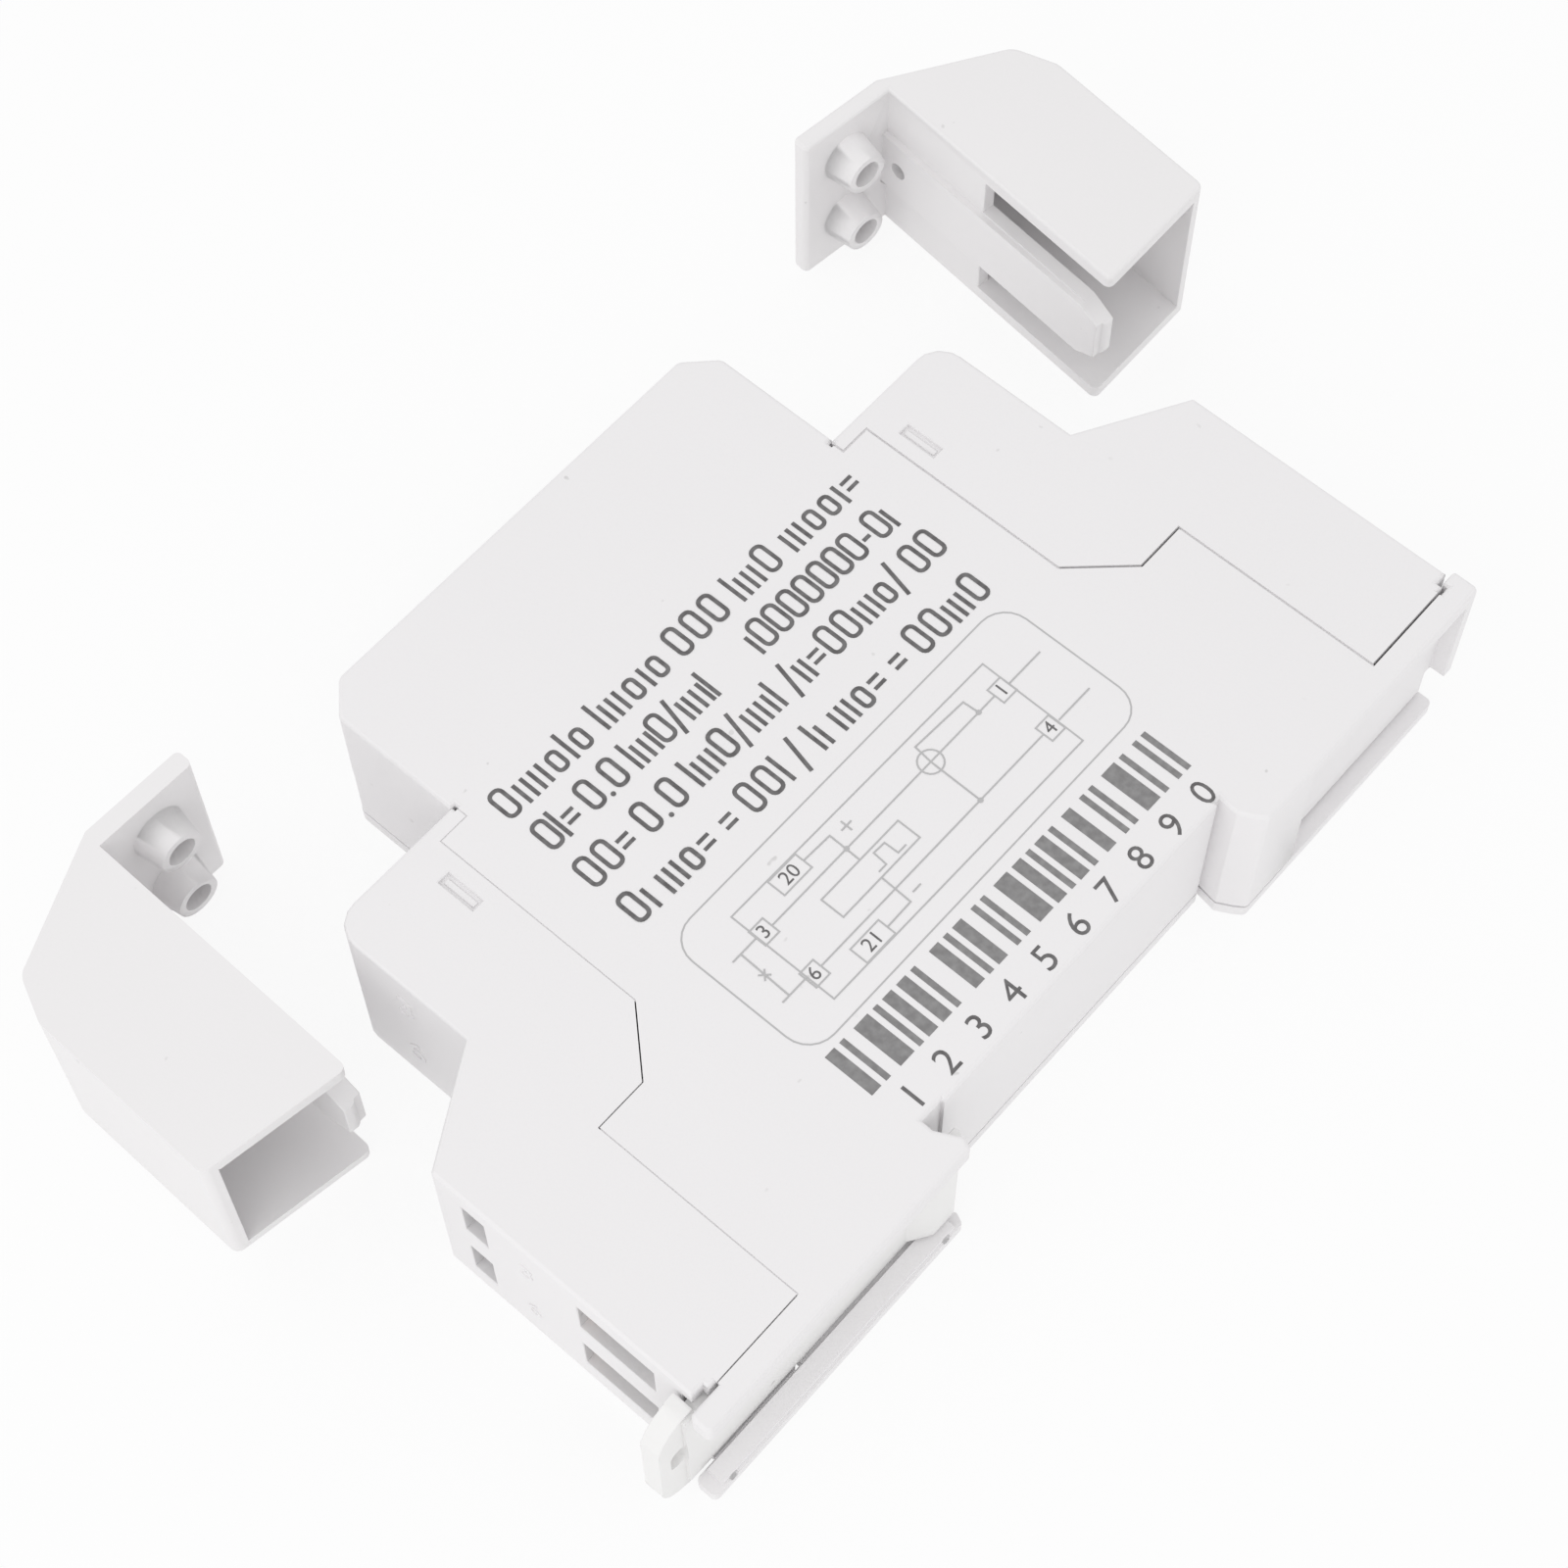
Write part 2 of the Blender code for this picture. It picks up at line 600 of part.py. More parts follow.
def case_shell():
    """The label-side shell: walls, rail seat, feet and nose, open on the side that lies down."""
    outline = case_outline(UPPER_STRIP_END, END_NUB)
    body = prism("case_shell", outline, SHELL_LOW, HALF_WIDTH, "housing", round_rim=HALF_WIDTH)
    below = SHELL_LOW - PAST
    cut(body, prism("case_room", cavity_outline(), below, ROOF))
    for side in (-1, 1):
        cut(body, end_box("neck_pass", side, (NECK - WALL - ROOT, NECK_PASS_LOW, below),
                          (NECK + PAST, SEAM_SHELF - WALL, ROOF)))
        for level in (-1, 1):
            middle, reach = level * TERMINAL_OFFSET, BAR_WIDTH / 2 + GAP
            cut(body, end_box("bar_pass", side, (WAIST - WALL - ROOT, BAR_LOW - GAP, middle - reach),
                              (WAIST + ROOT, BAR_LOW + BAR_THICK + GAP, middle + reach)))
        slit = WINDOW_BACK - SNAP_SLIT_DROP
        cut(body, end_box("window_slit", side, (HALF_NOSE - SNAP_SLIT_DEPTH, slit, -HALF_WIDTH),
                          (HALF_NOSE + PAST, slit + SNAP_SLIT, SHELL_LOW + SNAP_SLIT_LENGTH)))
    inner = -HOOK_LOWER + HOOK_LOWER_TIP + GAP
    cut(body, box("clip_channel", (-LOWER_STRIP_END - PAST, FOOT_BACK + LIP_DEPTH, below), (inner, 0, ROOF)))
    cut(body, box("clip_mouth", (-LOWER_STRIP_END - PAST, FOOT_BACK - PAST, below),
                  (inner, -GAP, ROOF - LIP_PROUD)))
    foot_start = SLOT_UPPER + FIXED_HOOK_LENGTH
    end_wall = UPPER_STRIP_END - END_WALL
    cut(body, box("foot_recess", (foot_start, FOOT_BACK - PAST, below),
                  (end_wall, FOOT_BACK + FOOT_RECESS, ROOF)))
    cut(body, box("end_notch", (end_wall - END_NOTCH, FOOT_BACK - PAST, below),
                  (UPPER_STRIP_END + PAST, STRIP_TOP + END_NUB + PAST, -HALF_WIDTH + END_WALL_FOOT)))
    cut(body, box("window_seat", (-WINDOW_LENGTH / 2, WINDOW_BACK - GAP, -WINDOW_HEIGHT / 2),
                  (WINDOW_LENGTH / 2, NOSE_FRONT + PAST, WINDOW_HEIGHT / 2)))
    cut(body, box("window_view", (-VIEW_LENGTH / 2, NOSE_FRONT - WALL - PAST, -VIEW_HEIGHT / 2),
                  (VIEW_LENGTH / 2, NOSE_FRONT, VIEW_HEIGHT / 2)))
    cut(body, cylinder("lamp_hole", (LAMP_X, NOSE_FRONT - WALL - PAST, 0), (LAMP_X, NOSE_FRONT + PAST, 0),
                       LAMP_RADIUS + GAP, sides=16))
    for side in (-1, 1):
        join(body, *snap_arm(side))
    return body


def back_plate():
    """The plate that closes the side on which the meter lies."""
    outline = case_outline(UPPER_STRIP_END - END_WALL - END_NOTCH, 0)
    body = prism("case_back_plate", outline, -HALF_WIDTH, PLATE_TOP, "housing", round_rim=-HALF_WIDTH)
    join(body, box("clip_lip", (-LOWER_STRIP_END + LIP_INSET, FOOT_BACK + 0.2, PLATE_TOP - ROOT),
                   (-HOOK_LOWER - LIP_INSET, FOOT_BACK + LIP_DEPTH - 0.05, PLATE_TOP + LIP_PROUD)))
    for x in (-LOWER_STRIP_END + LIP_HOLE_INSET, -HOOK_LOWER - LIP_HOLE_INSET):
        cut(body, cylinder("lip_hole", (x, FOOT_BACK - PAST, PLATE_TOP), (x, FOOT_BACK + PAST, PLATE_TOP),
                           LIP_HOLE_RADIUS, sides=10))
    return body


def block_outline():
    """A terminal block seen on its label side, for the +X end: shoulder, terrace, end face and seam."""
    return [
        (WAIST + GAP, STRIP_TOP + GAP),
        (HALF_BODY - END_NUB_INSET - GAP, STRIP_TOP + GAP),
        (HALF_BODY - END_NUB_INSET - GAP, STRIP_TOP + END_NUB + GAP),
        (HALF_BODY, STRIP_TOP + END_NUB + GAP),
        (HALF_BODY, TERRACE_OUTER, 0.3),
        (HALF_SHOULDER, TERRACE_INNER),
        (HALF_SHOULDER, SHOULDER_FRONT, SHOULDER_ROUND),
        (HALF_NOSE - SEAM_TUCK + GAP, SHOULDER_FRONT),
        (HALF_NOSE - SEAM_TUCK + GAP, SEAM_SHELF + GAP),
        (NECK + GAP, SEAM_SHELF + GAP),
        (NECK + GAP, SEAM_SLOPE_TOP + 0.1),
        (NECK + SEAM_SLOPE_RUN + 0.1, SEAM_SLOPE_BOTTOM + GAP),
        (WAIST + GAP, SEAM_SLOPE_BOTTOM + GAP),
    ]


def terminal_block(name, side, with_pulse, over_clip):
    """A terminal block: shoulder, terrace with two screw wells, and end face with two openings for each."""
    outline = block_outline()
    if side < 0:
        outline = mirrored(outline)
    body = prism(name, rounded(outline), -HALF_WIDTH, HALF_WIDTH, "housing", round_rim=HALF_WIDTH)
    side_wall = HALF_WIDTH - BLOCK_WALL
    shoulder_wall = HALF_SHOULDER - BLOCK_WALL
    front_wall = SHOULDER_FRONT - BLOCK_WALL
    open_x = NECK - PAST
    if with_pulse:
        cut(body, end_box("shoulder_duct", side, (open_x, NECK_PASS_LOW, -side_wall),
                          (PULSE_CHAMBER_INNER + ROOT, front_wall, side_wall)))
        cut(body, end_box("shoulder_room", side, (open_x, NECK_PASS_LOW, -side_wall),
                          (shoulder_wall, PULSE_CHAMBER_LOW - BLOCK_WALL, side_wall)))
    else:
        cut(body, end_box("shoulder_room", side, (open_x, NECK_PASS_LOW, -side_wall),
                          (shoulder_wall, front_wall, side_wall)))
    for level in (-1, 1):
        middle = level * TERMINAL_OFFSET
        low, high = middle - CHAMBER_WIDTH / 2, middle + CHAMBER_WIDTH / 2
        cut(body, end_box("terminal_chamber", side, (CHAMBER_INNER, CHAMBER_LOW, low),
                          (CHAMBER_OUTER, CHAMBER_TOP, high)))
        cut(body, end_box("terminal_door", side, (WAIST - PAST, CHAMBER_LOW + DOOR_INSET, low + 0.2),
                          (CHAMBER_INNER + ROOT, SEAM_SLOPE_BOTTOM - DOOR_INSET, high - 0.2)))
        for start, height, width in ((ENTRY_LOW, ENTRY_HEIGHT, ENTRY_WIDTH),
                                     (SIGHT_LOW, SIGHT_HEIGHT, SIGHT_WIDTH)):
            cut(body, end_box("end_opening", side, (CHAMBER_OUTER - ROOT, start, middle - width / 2),
                              (HALF_BODY + PAST, start + height, middle + width / 2)))
        cut(body, cylinder("screw_well", (side * TERMINAL_X, CHAMBER_TOP - PAST, middle),
                           (side * TERMINAL_X, TERRACE_INNER + 2, middle), WELL_RADIUS, sides=16))
        if with_pulse:
            cut(body, end_box("pulse_chamber", side, (PULSE_CHAMBER_INNER, PULSE_CHAMBER_LOW, low),
                              (shoulder_wall, PULSE_CHAMBER_TOP, high)))
            cut(body, cylinder("pulse_well", (side * PULSE_X, PULSE_CHAMBER_TOP - PAST, middle),
                               (side * PULSE_X, SHOULDER_FRONT + PAST, middle), PULSE_WELL_RADIUS, sides=12))
            cut(body, cylinder("pulse_entry", (side * (shoulder_wall - PAST), PULSE_ENTRY_Y, middle),
                               (side * (HALF_SHOULDER + PAST), PULSE_ENTRY_Y, middle),
                               PULSE_ENTRY_RADIUS, sides=12))
    slot_inner = NECK + SNAP_SLOT_INSET
    cut(body, end_box("snap_slot", side, (slot_inner, SNAP_LOW, side_wall - ROOT),
                      (slot_inner + SNAP_SLOT, SNAP_LOW + SNAP_LENGTH, HALF_WIDTH + PAST)))
    if over_clip:
        cut(body, end_box("clip_way", side, (WAIST - PAST, STRIP_TOP - PAST, PLATE_TOP),
                          (HALF_BODY + PAST, CLIP_LOW + CLIP_THICK + GAP, ROOF)))
    return body


def rail_clip():
    """The sliding clip: a flat bar with a wedge nose under the rail and a pull tab at the meter's end."""
    top = CLIP_LOW + CLIP_THICK
    nose_top = -RAIL_LIP - GAP
    bar_end = -CLIP_TAB_OUT + CLIP_TAB_ROOT
    step = -SLOT_LOWER - CLIP_STEP
    inner_low, inner_high = PLATE_TOP + GAP, ROOF - GAP
    body = box("rail_clip", (bar_end, CLIP_LOW, inner_low), (step, top, inner_high), "clip")
    heel = -CLIP_TIP - CLIP_NOSE
    nose = [
        (heel - CLIP_NOSE_FLAT, CLIP_NOSE_LOW),
        (heel, CLIP_NOSE_LOW),
        (-CLIP_TIP, nose_top - CLIP_NOSE_TIP),
        (-CLIP_TIP, nose_top),
        (heel - CLIP_NOSE_FLAT - CLIP_NOSE_RAMP, nose_top),
    ]
    join(body, prism("clip_nose", nose, inner_low + LIP_PROUD, inner_high - LIP_PROUD))
    low_end, high_end = GAP - HALF_WIDTH, HALF_WIDTH - GAP - CLIP_TAB_DROP
    tab = [
        (low_end, 0, CLIP_TAB_ROUND),
        (high_end, 0, CLIP_TAB_ROUND),
        (high_end, CLIP_TAB_OUT - HALF_BODY - GAP),
        (low_end, CLIP_TAB_OUT - HALF_BODY - GAP),
    ]
    plate = prism("clip_tab", rounded(tab, steps=5), 0, CLIP_TAB_THICK)
    upright = Matrix(((0, 1, 0, 0), (0, 0, 1, 0), (1, 0, 0, 0), (0, 0, 0, 1)))
    plate.data.transform(Matrix.Translation(Vector((-CLIP_TAB_OUT, CLIP_TAB_LOW, 0)) * MM) @ upright)
    plate.data.update()
    join(body, plate)
    straight = (CLIP_HOLE_LENGTH - CLIP_HOLE_WIDTH) / 2
    middle = -CLIP_TAB_OUT + CLIP_HOLE_INSET
    low, high = CLIP_TAB_LOW - PAST, CLIP_TAB_LOW + CLIP_TAB_THICK + PAST
    for level in (-straight, straight):
        cut(body, cylinder("tab_hole", (middle, low, level), (middle, high, level),
                           CLIP_HOLE_WIDTH / 2, sides=16))
    cut(body, box("tab_slot", (middle - CLIP_HOLE_WIDTH / 2, low, -straight),
                  (middle + CLIP_HOLE_WIDTH / 2, high, straight)))
    return body


def cage_clamp(name, x, z, low, top, length, width, wall, crown, floor, screw_radius):
    """A box clamp, open along X for the wire, with the screw's hole in its crown."""
    body = box(name, (x - length / 2, low, z - width / 2), (x + length / 2, top, z + width / 2), "steel")
    cut(body, box(name + "_way", (x - length / 2 - PAST, low + floor, z - width / 2 + wall),
                  (x + length / 2 + PAST, top - crown, z + width / 2 - wall)))
    cut(body, cylinder(name + "_thread", (x, top - crown - PAST, z), (x, top + PAST, z),
                       screw_radius + GAP, sides=20))
    return body


def terminal_screw(name, x, z, tip, under_head, radius, head_radius, head):
    """A turned screw on an axis along Y, with a crossed slot in its head."""
    top = under_head + head
    profile = [(0, top), (head_radius - SCREW_EASE, top), (head_radius, top - SCREW_EASE),
               (head_radius, under_head), (radius, under_head), (radius, tip + SCREW_EASE),
               (radius - SCREW_EASE, tip), (0, tip)]
    body = turned_y(name, (x, z), profile, "steel", steps=20)
    half, reach, past = SCREW_SLOT / 2, head_radius * CROSS_SHARE, head_radius + PAST
    depth = top - head * SLOT_SHARE
    cut(body, box(name + "_slot", (x - past, depth, z - half), (x + past, top + PAST, z + half)))
    cut(body, box(name + "_cross", (x - half, depth, z - reach), (x + half, top + PAST, z + reach)))
    return body


def main_terminals():
    for number, side, level in ((1, 1, 1), (3, -1, 1), (4, 1, -1), (6, -1, -1)):
        x, z = side * TERMINAL_X, level * TERMINAL_OFFSET
        cage_clamp("cage_clamp_%d" % number, x, z, CAGE_LOW, CAGE_TOP, CAGE_LENGTH, CAGE_WIDTH,
                   CAGE_WALL, CAGE_CROWN, CAGE_FLOOR, SCREW_RADIUS)
        terminal_screw("terminal_screw_%d" % number, x, z, SCREW_TIP, SCREW_UNDER_HEAD,
                       SCREW_RADIUS, SCREW_HEAD_RADIUS, SCREW_HEAD)


def pulse_terminals():
    for number, level in ((20, 1), (21, -1)):
        z = level * TERMINAL_OFFSET
        cage_clamp("pulse_clamp_%d" % number, PULSE_X, z, PULSE_CAGE_LOW, PULSE_CAGE_TOP, PULSE_CAGE_LENGTH,
                   PULSE_CAGE_WIDTH, PULSE_CAGE_WALL, PULSE_CAGE_CROWN, PULSE_CAGE_WALL, PULSE_SCREW_RADIUS)
        terminal_screw("pulse_screw_%d" % number, PULSE_X, z, PULSE_SCREW_TIP, PULSE_UNDER_HEAD,
                       PULSE_SCREW_RADIUS, PULSE_HEAD_RADIUS, PULSE_HEAD)
        tail_top = PULSE_BAR_LOW + PULSE_BAR_THICK
        tail = box("pulse_tail_%d" % number, (BOARD_EDGE + GAP, PULSE_BAR_LOW, z - PULSE_BAR_WIDTH / 2),
                   (PULSE_X + PULSE_CAGE_LENGTH / 2, tail_top, z + PULSE_BAR_WIDTH / 2), "copper")
        if level > 0:
            foot_low, foot_high = BOARD_LEVEL + GAP, z
        else:
            foot_low, foot_high = z - PULSE_BAR_WIDTH / 2, BOARD_LEVEL - BOARD_THICK - GAP
        join(tail, box("tail_foot", (BOARD_EDGE - TAIL_FOOT, PULSE_BAR_LOW, foot_low),
                       (BOARD_EDGE + GAP + PULSE_BAR_THICK, tail_top, foot_high)))


def busbars():
    half = BAR_WIDTH / 2
    top = BAR_LOW + BAR_THICK
    reach = TERMINAL_X + CAGE_LENGTH / 2
    z = TERMINAL_OFFSET
    shunt_half = SHUNT_LENGTH / 2
    box("line_bar_in", (shunt_half + GAP, BAR_LOW, z - half), (reach, top, z + half), "copper")
    box("line_bar_out", (-reach, BAR_LOW, z - half), (-shunt_half - GAP, top, z + half), "copper")
    box("neutral_bar", (-reach, BAR_LOW, -z - half), (reach, top, -z + half), "copper")
    spare = (SHUNT_THICK - BAR_THICK) / 2
    shunt = box("shunt", (-shunt_half, BAR_LOW - spare, z - half),
                (shunt_half, top + spare, z + half), "manganin")
    waist = shunt_half * SHUNT_WAIST
    for low, high in ((z - half - PAST, z - half / 2), (z + half / 2, z + half + PAST)):
        cut(shunt, box("shunt_waist", (-waist, BAR_LOW - PAST, low), (waist, top + PAST, high)))


def display():
    box("display_window", (-WINDOW_LENGTH / 2 + GAP, WINDOW_BACK, -WINDOW_HEIGHT / 2 + GAP),
        (WINDOW_LENGTH / 2 - GAP, NOSE_FRONT, WINDOW_HEIGHT / 2 - GAP), "window", edge=0.2)
    box("display_glass", (-GLASS_LENGTH / 2, GLASS_FRONT - GLASS_THICK, -GLASS_HEIGHT / 2),
        (GLASS_LENGTH / 2, GLASS_FRONT, GLASS_HEIGHT / 2), "display")
    holder = box("display_holder", (-GLASS_LENGTH / 2, HOLDER_FRONT - HOLDER_DEPTH, -GLASS_HEIGHT / 2),
                 (GLASS_LENGTH / 2, HOLDER_FRONT, GLASS_HEIGHT / 2), "holder")
    cut(holder, box("holder_room", (-GLASS_LENGTH / 2 + HOLDER_RIM, HOLDER_FRONT - HOLDER_DEPTH + HOLDER_RIM,
                                    -GLASS_HEIGHT / 2 + HOLDER_RIM),
                    (GLASS_LENGTH / 2 - HOLDER_RIM, HOLDER_FRONT + 1, GLASS_HEIGHT / 2 - HOLDER_RIM)))
    lamp_top = NOSE_FRONT - 0.5
    lamp_back = lamp_top - LAMP_LENGTH
    profile = [(0, lamp_top), (LAMP_RADIUS * 0.7, lamp_top - 0.25), (LAMP_RADIUS, lamp_top - 0.8),
               (LAMP_RADIUS, lamp_back), (0, lamp_back)]
    turned_y("pulse_lamp", (LAMP_X, 0), profile, "lamp", steps=16)


def circuit_board():
    """The board, as wide as the neck, with a tongue to the display and an ear into each block."""
    nose = HALF_NOSE - WALL - BOARD_MARGIN
    step = SEAM_SHELF - WALL - BOARD_MARGIN
    ear = NECK + BOARD_EAR
    ear_low = NECK_PASS_LOW + BOARD_EAR_RAISE
    right = [
        (BOARD_EDGE - BOARD_CORNER, BOARD_LOW),
        (BOARD_EDGE, SEAM_SLOPE_TOP - WALL),
        (BOARD_EDGE, ear_low),
        (ear, ear_low),
        (ear, ear_low + BOARD_EAR_LENGTH),
        (BOARD_EDGE, ear_low + BOARD_EAR_LENGTH),
        (BOARD_EDGE, step),
        (nose, step),
        (nose, BOARD_FRONT),
    ]
    body = prism("circuit_board", right + mirrored(right), BOARD_LEVEL - BOARD_THICK, BOARD_LEVEL, "board")
    hole_x, hole_y = nose - BOARD_HOLE_INSET, BOARD_FRONT - BOARD_HOLE_INSET
    for x in (-hole_x, hole_x):
        cut(body, cylinder("board_hole", (x, hole_y, BOARD_LEVEL - BOARD_THICK - PAST),
                           (x, hole_y, BOARD_LEVEL + PAST), BOARD_HOLE_RADIUS, sides=12))
    return body


def pinned_package(name, x, y, length, width, height, pins, finish):
    """A chip body standing just off the board, with its row of pins along each long side."""
    base = BOARD_LEVEL + GAP
    body = box(name, (x - length / 2, y - width / 2, base + 0.2),
               (x + length / 2, y + width / 2, base + height), finish)
    pitch = length / pins
    for index in range(pins):
        middle = x - length / 2 + pitch * (index + 0.5)
        join(body, box(name + "_pins", (middle - PIN_WIDTH / 2, y - width / 2 - PIN_REACH, base),
                       (middle + PIN_WIDTH / 2, y + width / 2 + PIN_REACH, base + PIN_THICK)))
    return body


def board_parts():
    base = BOARD_LEVEL + GAP
    film_x, film_y = -BOARD_EDGE + FILM_INSET, BOARD_LOW + FILM_RAISE
    box("film_capacitor", (film_x, film_y, base), (FILM_END, film_y + FILM_DEPTH, base + FILM_HEIGHT),
        "film", edge=0.5)
    front = CAN_BACK + CAN_LENGTH
    ridge = CAN_BACK + CAN_GROOVE
    waist = CAN_RADIUS - CAN_CRIMP
    profile = [(0, front), (waist, front), (CAN_RADIUS, front - CAN_CRIMP), (CAN_RADIUS, ridge + CAN_CRIMP),
               (waist, ridge), (CAN_RADIUS, ridge - CAN_CRIMP), (CAN_RADIUS, CAN_BACK), (0, CAN_BACK)]
    smooth(turned_y("smoothing_capacitor", (BOARD_EDGE - CAN_INSET, base + CAN_RADIUS), profile, "can"))
    disc_x, middle = BOARD_EDGE - VARISTOR_INSET, base + VARISTOR_RADIUS
    smooth(cylinder("varistor", (disc_x - VARISTOR_THICK / 2, VARISTOR_Y, middle),
                    (disc_x + VARISTOR_THICK / 2, VARISTOR_Y, middle), VARISTOR_RADIUS, "varistor"))
    pinned_package("metering_chip", CHIP_X, CHIP_Y, CHIP_LENGTH, CHIP_WIDTH, CHIP_HEIGHT, CHIP_PINS, "chip")
    pinned_package("pulse_coupler", BOARD_EDGE - COUPLER_INSET, COUPLER_Y, COUPLER_LENGTH, COUPLER_WIDTH,
                   COUPLER_HEIGHT, COUPLER_PINS, "chip")


def cover_outline():
    """The cover in t and s: inner wall on t = 0, open end low, slanted front high, then the plate."""
    return [
        (0, 0, 0.6),
        (COVER_REACH, COVER_SKEW, 0.8),
        (COVER_REACH, COVER_SHOULDER, COVER_CORNER),
        (COVER_SLANT_T, COVER_SLANT_S, COVER_CORNER),
        (0, COVER_LENGTH),
        (-PLATE_REACH, COVER_LENGTH, PLATE_ROUND),
        (-PLATE_REACH, COVER_LENGTH - PLATE_THICK, PLATE_ROUND),
        (0, COVER_LENGTH - PLATE_THICK),
    ]


def cover_tools(name):
    """What is joined to a cover's outline and cut from it, in order, in the cover's own t and s."""
    under = COVER_LENGTH - PLATE_THICK
    inner_side = HALF_WIDTH - COVER_WALL
    half_tongue = TONGUE_WIDTH / 2
    tools = [(join, box(name + "_tongue", (-TONGUE_PROUD, 0.4, -half_tongue),
                        (ROOT, under + 0.3, half_tongue)))]
    for z in (-TERMINAL_OFFSET, TERMINAL_OFFSET):
        tip = under - BOSS_LENGTH
        tools.append((join, cylinder(name + "_plug", (-BOSS_INSET, tip, z), (-BOSS_INSET, under + 0.3, z),
                                     BOSS_TIP_RADIUS, end_radius=BOSS_BASE_RADIUS)))
        tools.append((cut, cylinder(name + "_plug_hole", (-BOSS_INSET, tip - PAST, z),
                                    (-BOSS_INSET, tip + BOSS_HOLE_DEPTH, z), BOSS_HOLE_RADIUS, sides=20)))
    room = inset([(0, -COVER_REACH), (COVER_REACH, -COVER_REACH),
                  (COVER_REACH, COVER_SHOULDER, COVER_ROOM_CORNER),
                  (COVER_SLANT_T, COVER_SLANT_S, COVER_ROOM_CORNER), (0, COVER_LENGTH)], COVER_WALL)
    tools.append((cut, prism(name + "_room", rounded(room), -inner_side, inner_side)))
    for level in (-1, 1):
        zs = sorted((level * (half_tongue + 0.1), level * inner_side))
        tools.append((cut, box(name + "_wire_slot", (-PAST, -PAST, zs[0]),
                               (COVER_WALL + ROOT, COVER_SLOT_START, zs[1]))))
        edge = level * (half_tongue + GAP)
        corner = [(edge - level * (TONGUE_CHAMFER + GAP), -0.2), (edge, TONGUE_CHAMFER_RISE), (edge, -0.2)]
        wedge = prism(name + "_tongue_corner", corner, -TONGUE_PROUD - PAST, COVER_WALL + 0.2)
        wedge.data.transform(Matrix(((0, 0, 1, 0), (0, 1, 0, 0), (-1, 0, 0, 0), (0, 0, 0, 1))))
        tools.append((cut, wedge))
    hole_s = COVER_LENGTH - SEAL_HOLE_INSET
    tools.append((cut, cylinder(name + "_seal_hole", (-TONGUE_PROUD - PAST, hole_s, 0),
                                (COVER_WALL + PAST, hole_s, 0), SEAL_HOLE_RADIUS, sides=16)))
    return tools


def terminal_cover(name, side, x, y, turn):
    """A terminal cover lying on its side: open box, slotted inner wall, plate with two hollow plugs."""
    body = prism(name, rounded(cover_outline()), -HALF_WIDTH, HALF_WIDTH, "cover", round_rim=HALF_WIDTH)
    mirror = Matrix.Rotation(math.pi, 4, "Y") if side < 0 else Matrix.Identity(4)
    place = Matrix.Translation(Vector((x, y, 0)) * MM) @ Matrix.Rotation(math.radians(turn), 4, "Z") @ mirror
    body.data.transform(place)
    for action, tool in cover_tools(name):
        tool.data.transform(place)
        action(body, tool)
    return body


def build():
    case_shell()
    back_plate()
    terminal_block("terminal_block_upper", 1, True, False)
    terminal_block("terminal_block_lower", -1, False, True)
    rail_clip()
    main_terminals()
    pulse_terminals()
    busbars()
    display()
    circuit_board()
    board_parts()
    terminal_cover("terminal_cover_upper", 1, HALF_SHOULDER + UPPER_COVER_GAP,
                   TERRACE_INNER + UPPER_COVER_RISE, UPPER_COVER_TURN)
    terminal_cover("terminal_cover_lower", -1, -HALF_SHOULDER - LOWER_COVER_GAP,
                   TERRACE_INNER + LOWER_COVER_RISE, LOWER_COVER_TURN)


build()
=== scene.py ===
"""Looks of a one-module DIN rail energy meter that lies on its side with its two terminal covers taken off.

The packed solids are the frame. Moulded pieces get rounded copies, the label side its print, the front its
display, and every surface a procedural material. The settings, and how edges are rounded, are in metres. All
other lengths, such as the places of the marks, are in millimetres unless a comment says otherwise.
"""
import math

import bmesh
import bpy
from bpy.props import FloatProperty, FloatVectorProperty, PointerProperty, StringProperty
from mathutils import Matrix, Vector


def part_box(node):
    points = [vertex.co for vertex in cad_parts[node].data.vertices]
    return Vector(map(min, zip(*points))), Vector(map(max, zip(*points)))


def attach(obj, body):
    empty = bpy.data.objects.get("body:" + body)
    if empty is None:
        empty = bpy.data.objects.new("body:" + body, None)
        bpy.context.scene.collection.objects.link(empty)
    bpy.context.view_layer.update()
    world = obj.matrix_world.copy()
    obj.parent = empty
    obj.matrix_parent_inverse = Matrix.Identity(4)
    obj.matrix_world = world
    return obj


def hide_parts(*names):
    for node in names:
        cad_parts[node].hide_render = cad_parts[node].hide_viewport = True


bl_info = {
    "name": "DIN rail energy meter",
    "version": (1, 0, 0),
    "blender": (4, 5, 0),
    "location": "View3D > Sidebar > Meter",
    "description": "Builds the finished look of a one-module energy meter around its solids",
    "category": "Object",
}

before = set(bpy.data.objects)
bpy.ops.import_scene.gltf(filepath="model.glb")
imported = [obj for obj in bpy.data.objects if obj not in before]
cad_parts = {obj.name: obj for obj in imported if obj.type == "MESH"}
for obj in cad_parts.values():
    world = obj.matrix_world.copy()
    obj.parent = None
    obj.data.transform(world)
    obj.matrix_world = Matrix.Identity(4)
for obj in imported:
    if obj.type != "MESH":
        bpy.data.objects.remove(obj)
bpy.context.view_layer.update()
MM = 0.001

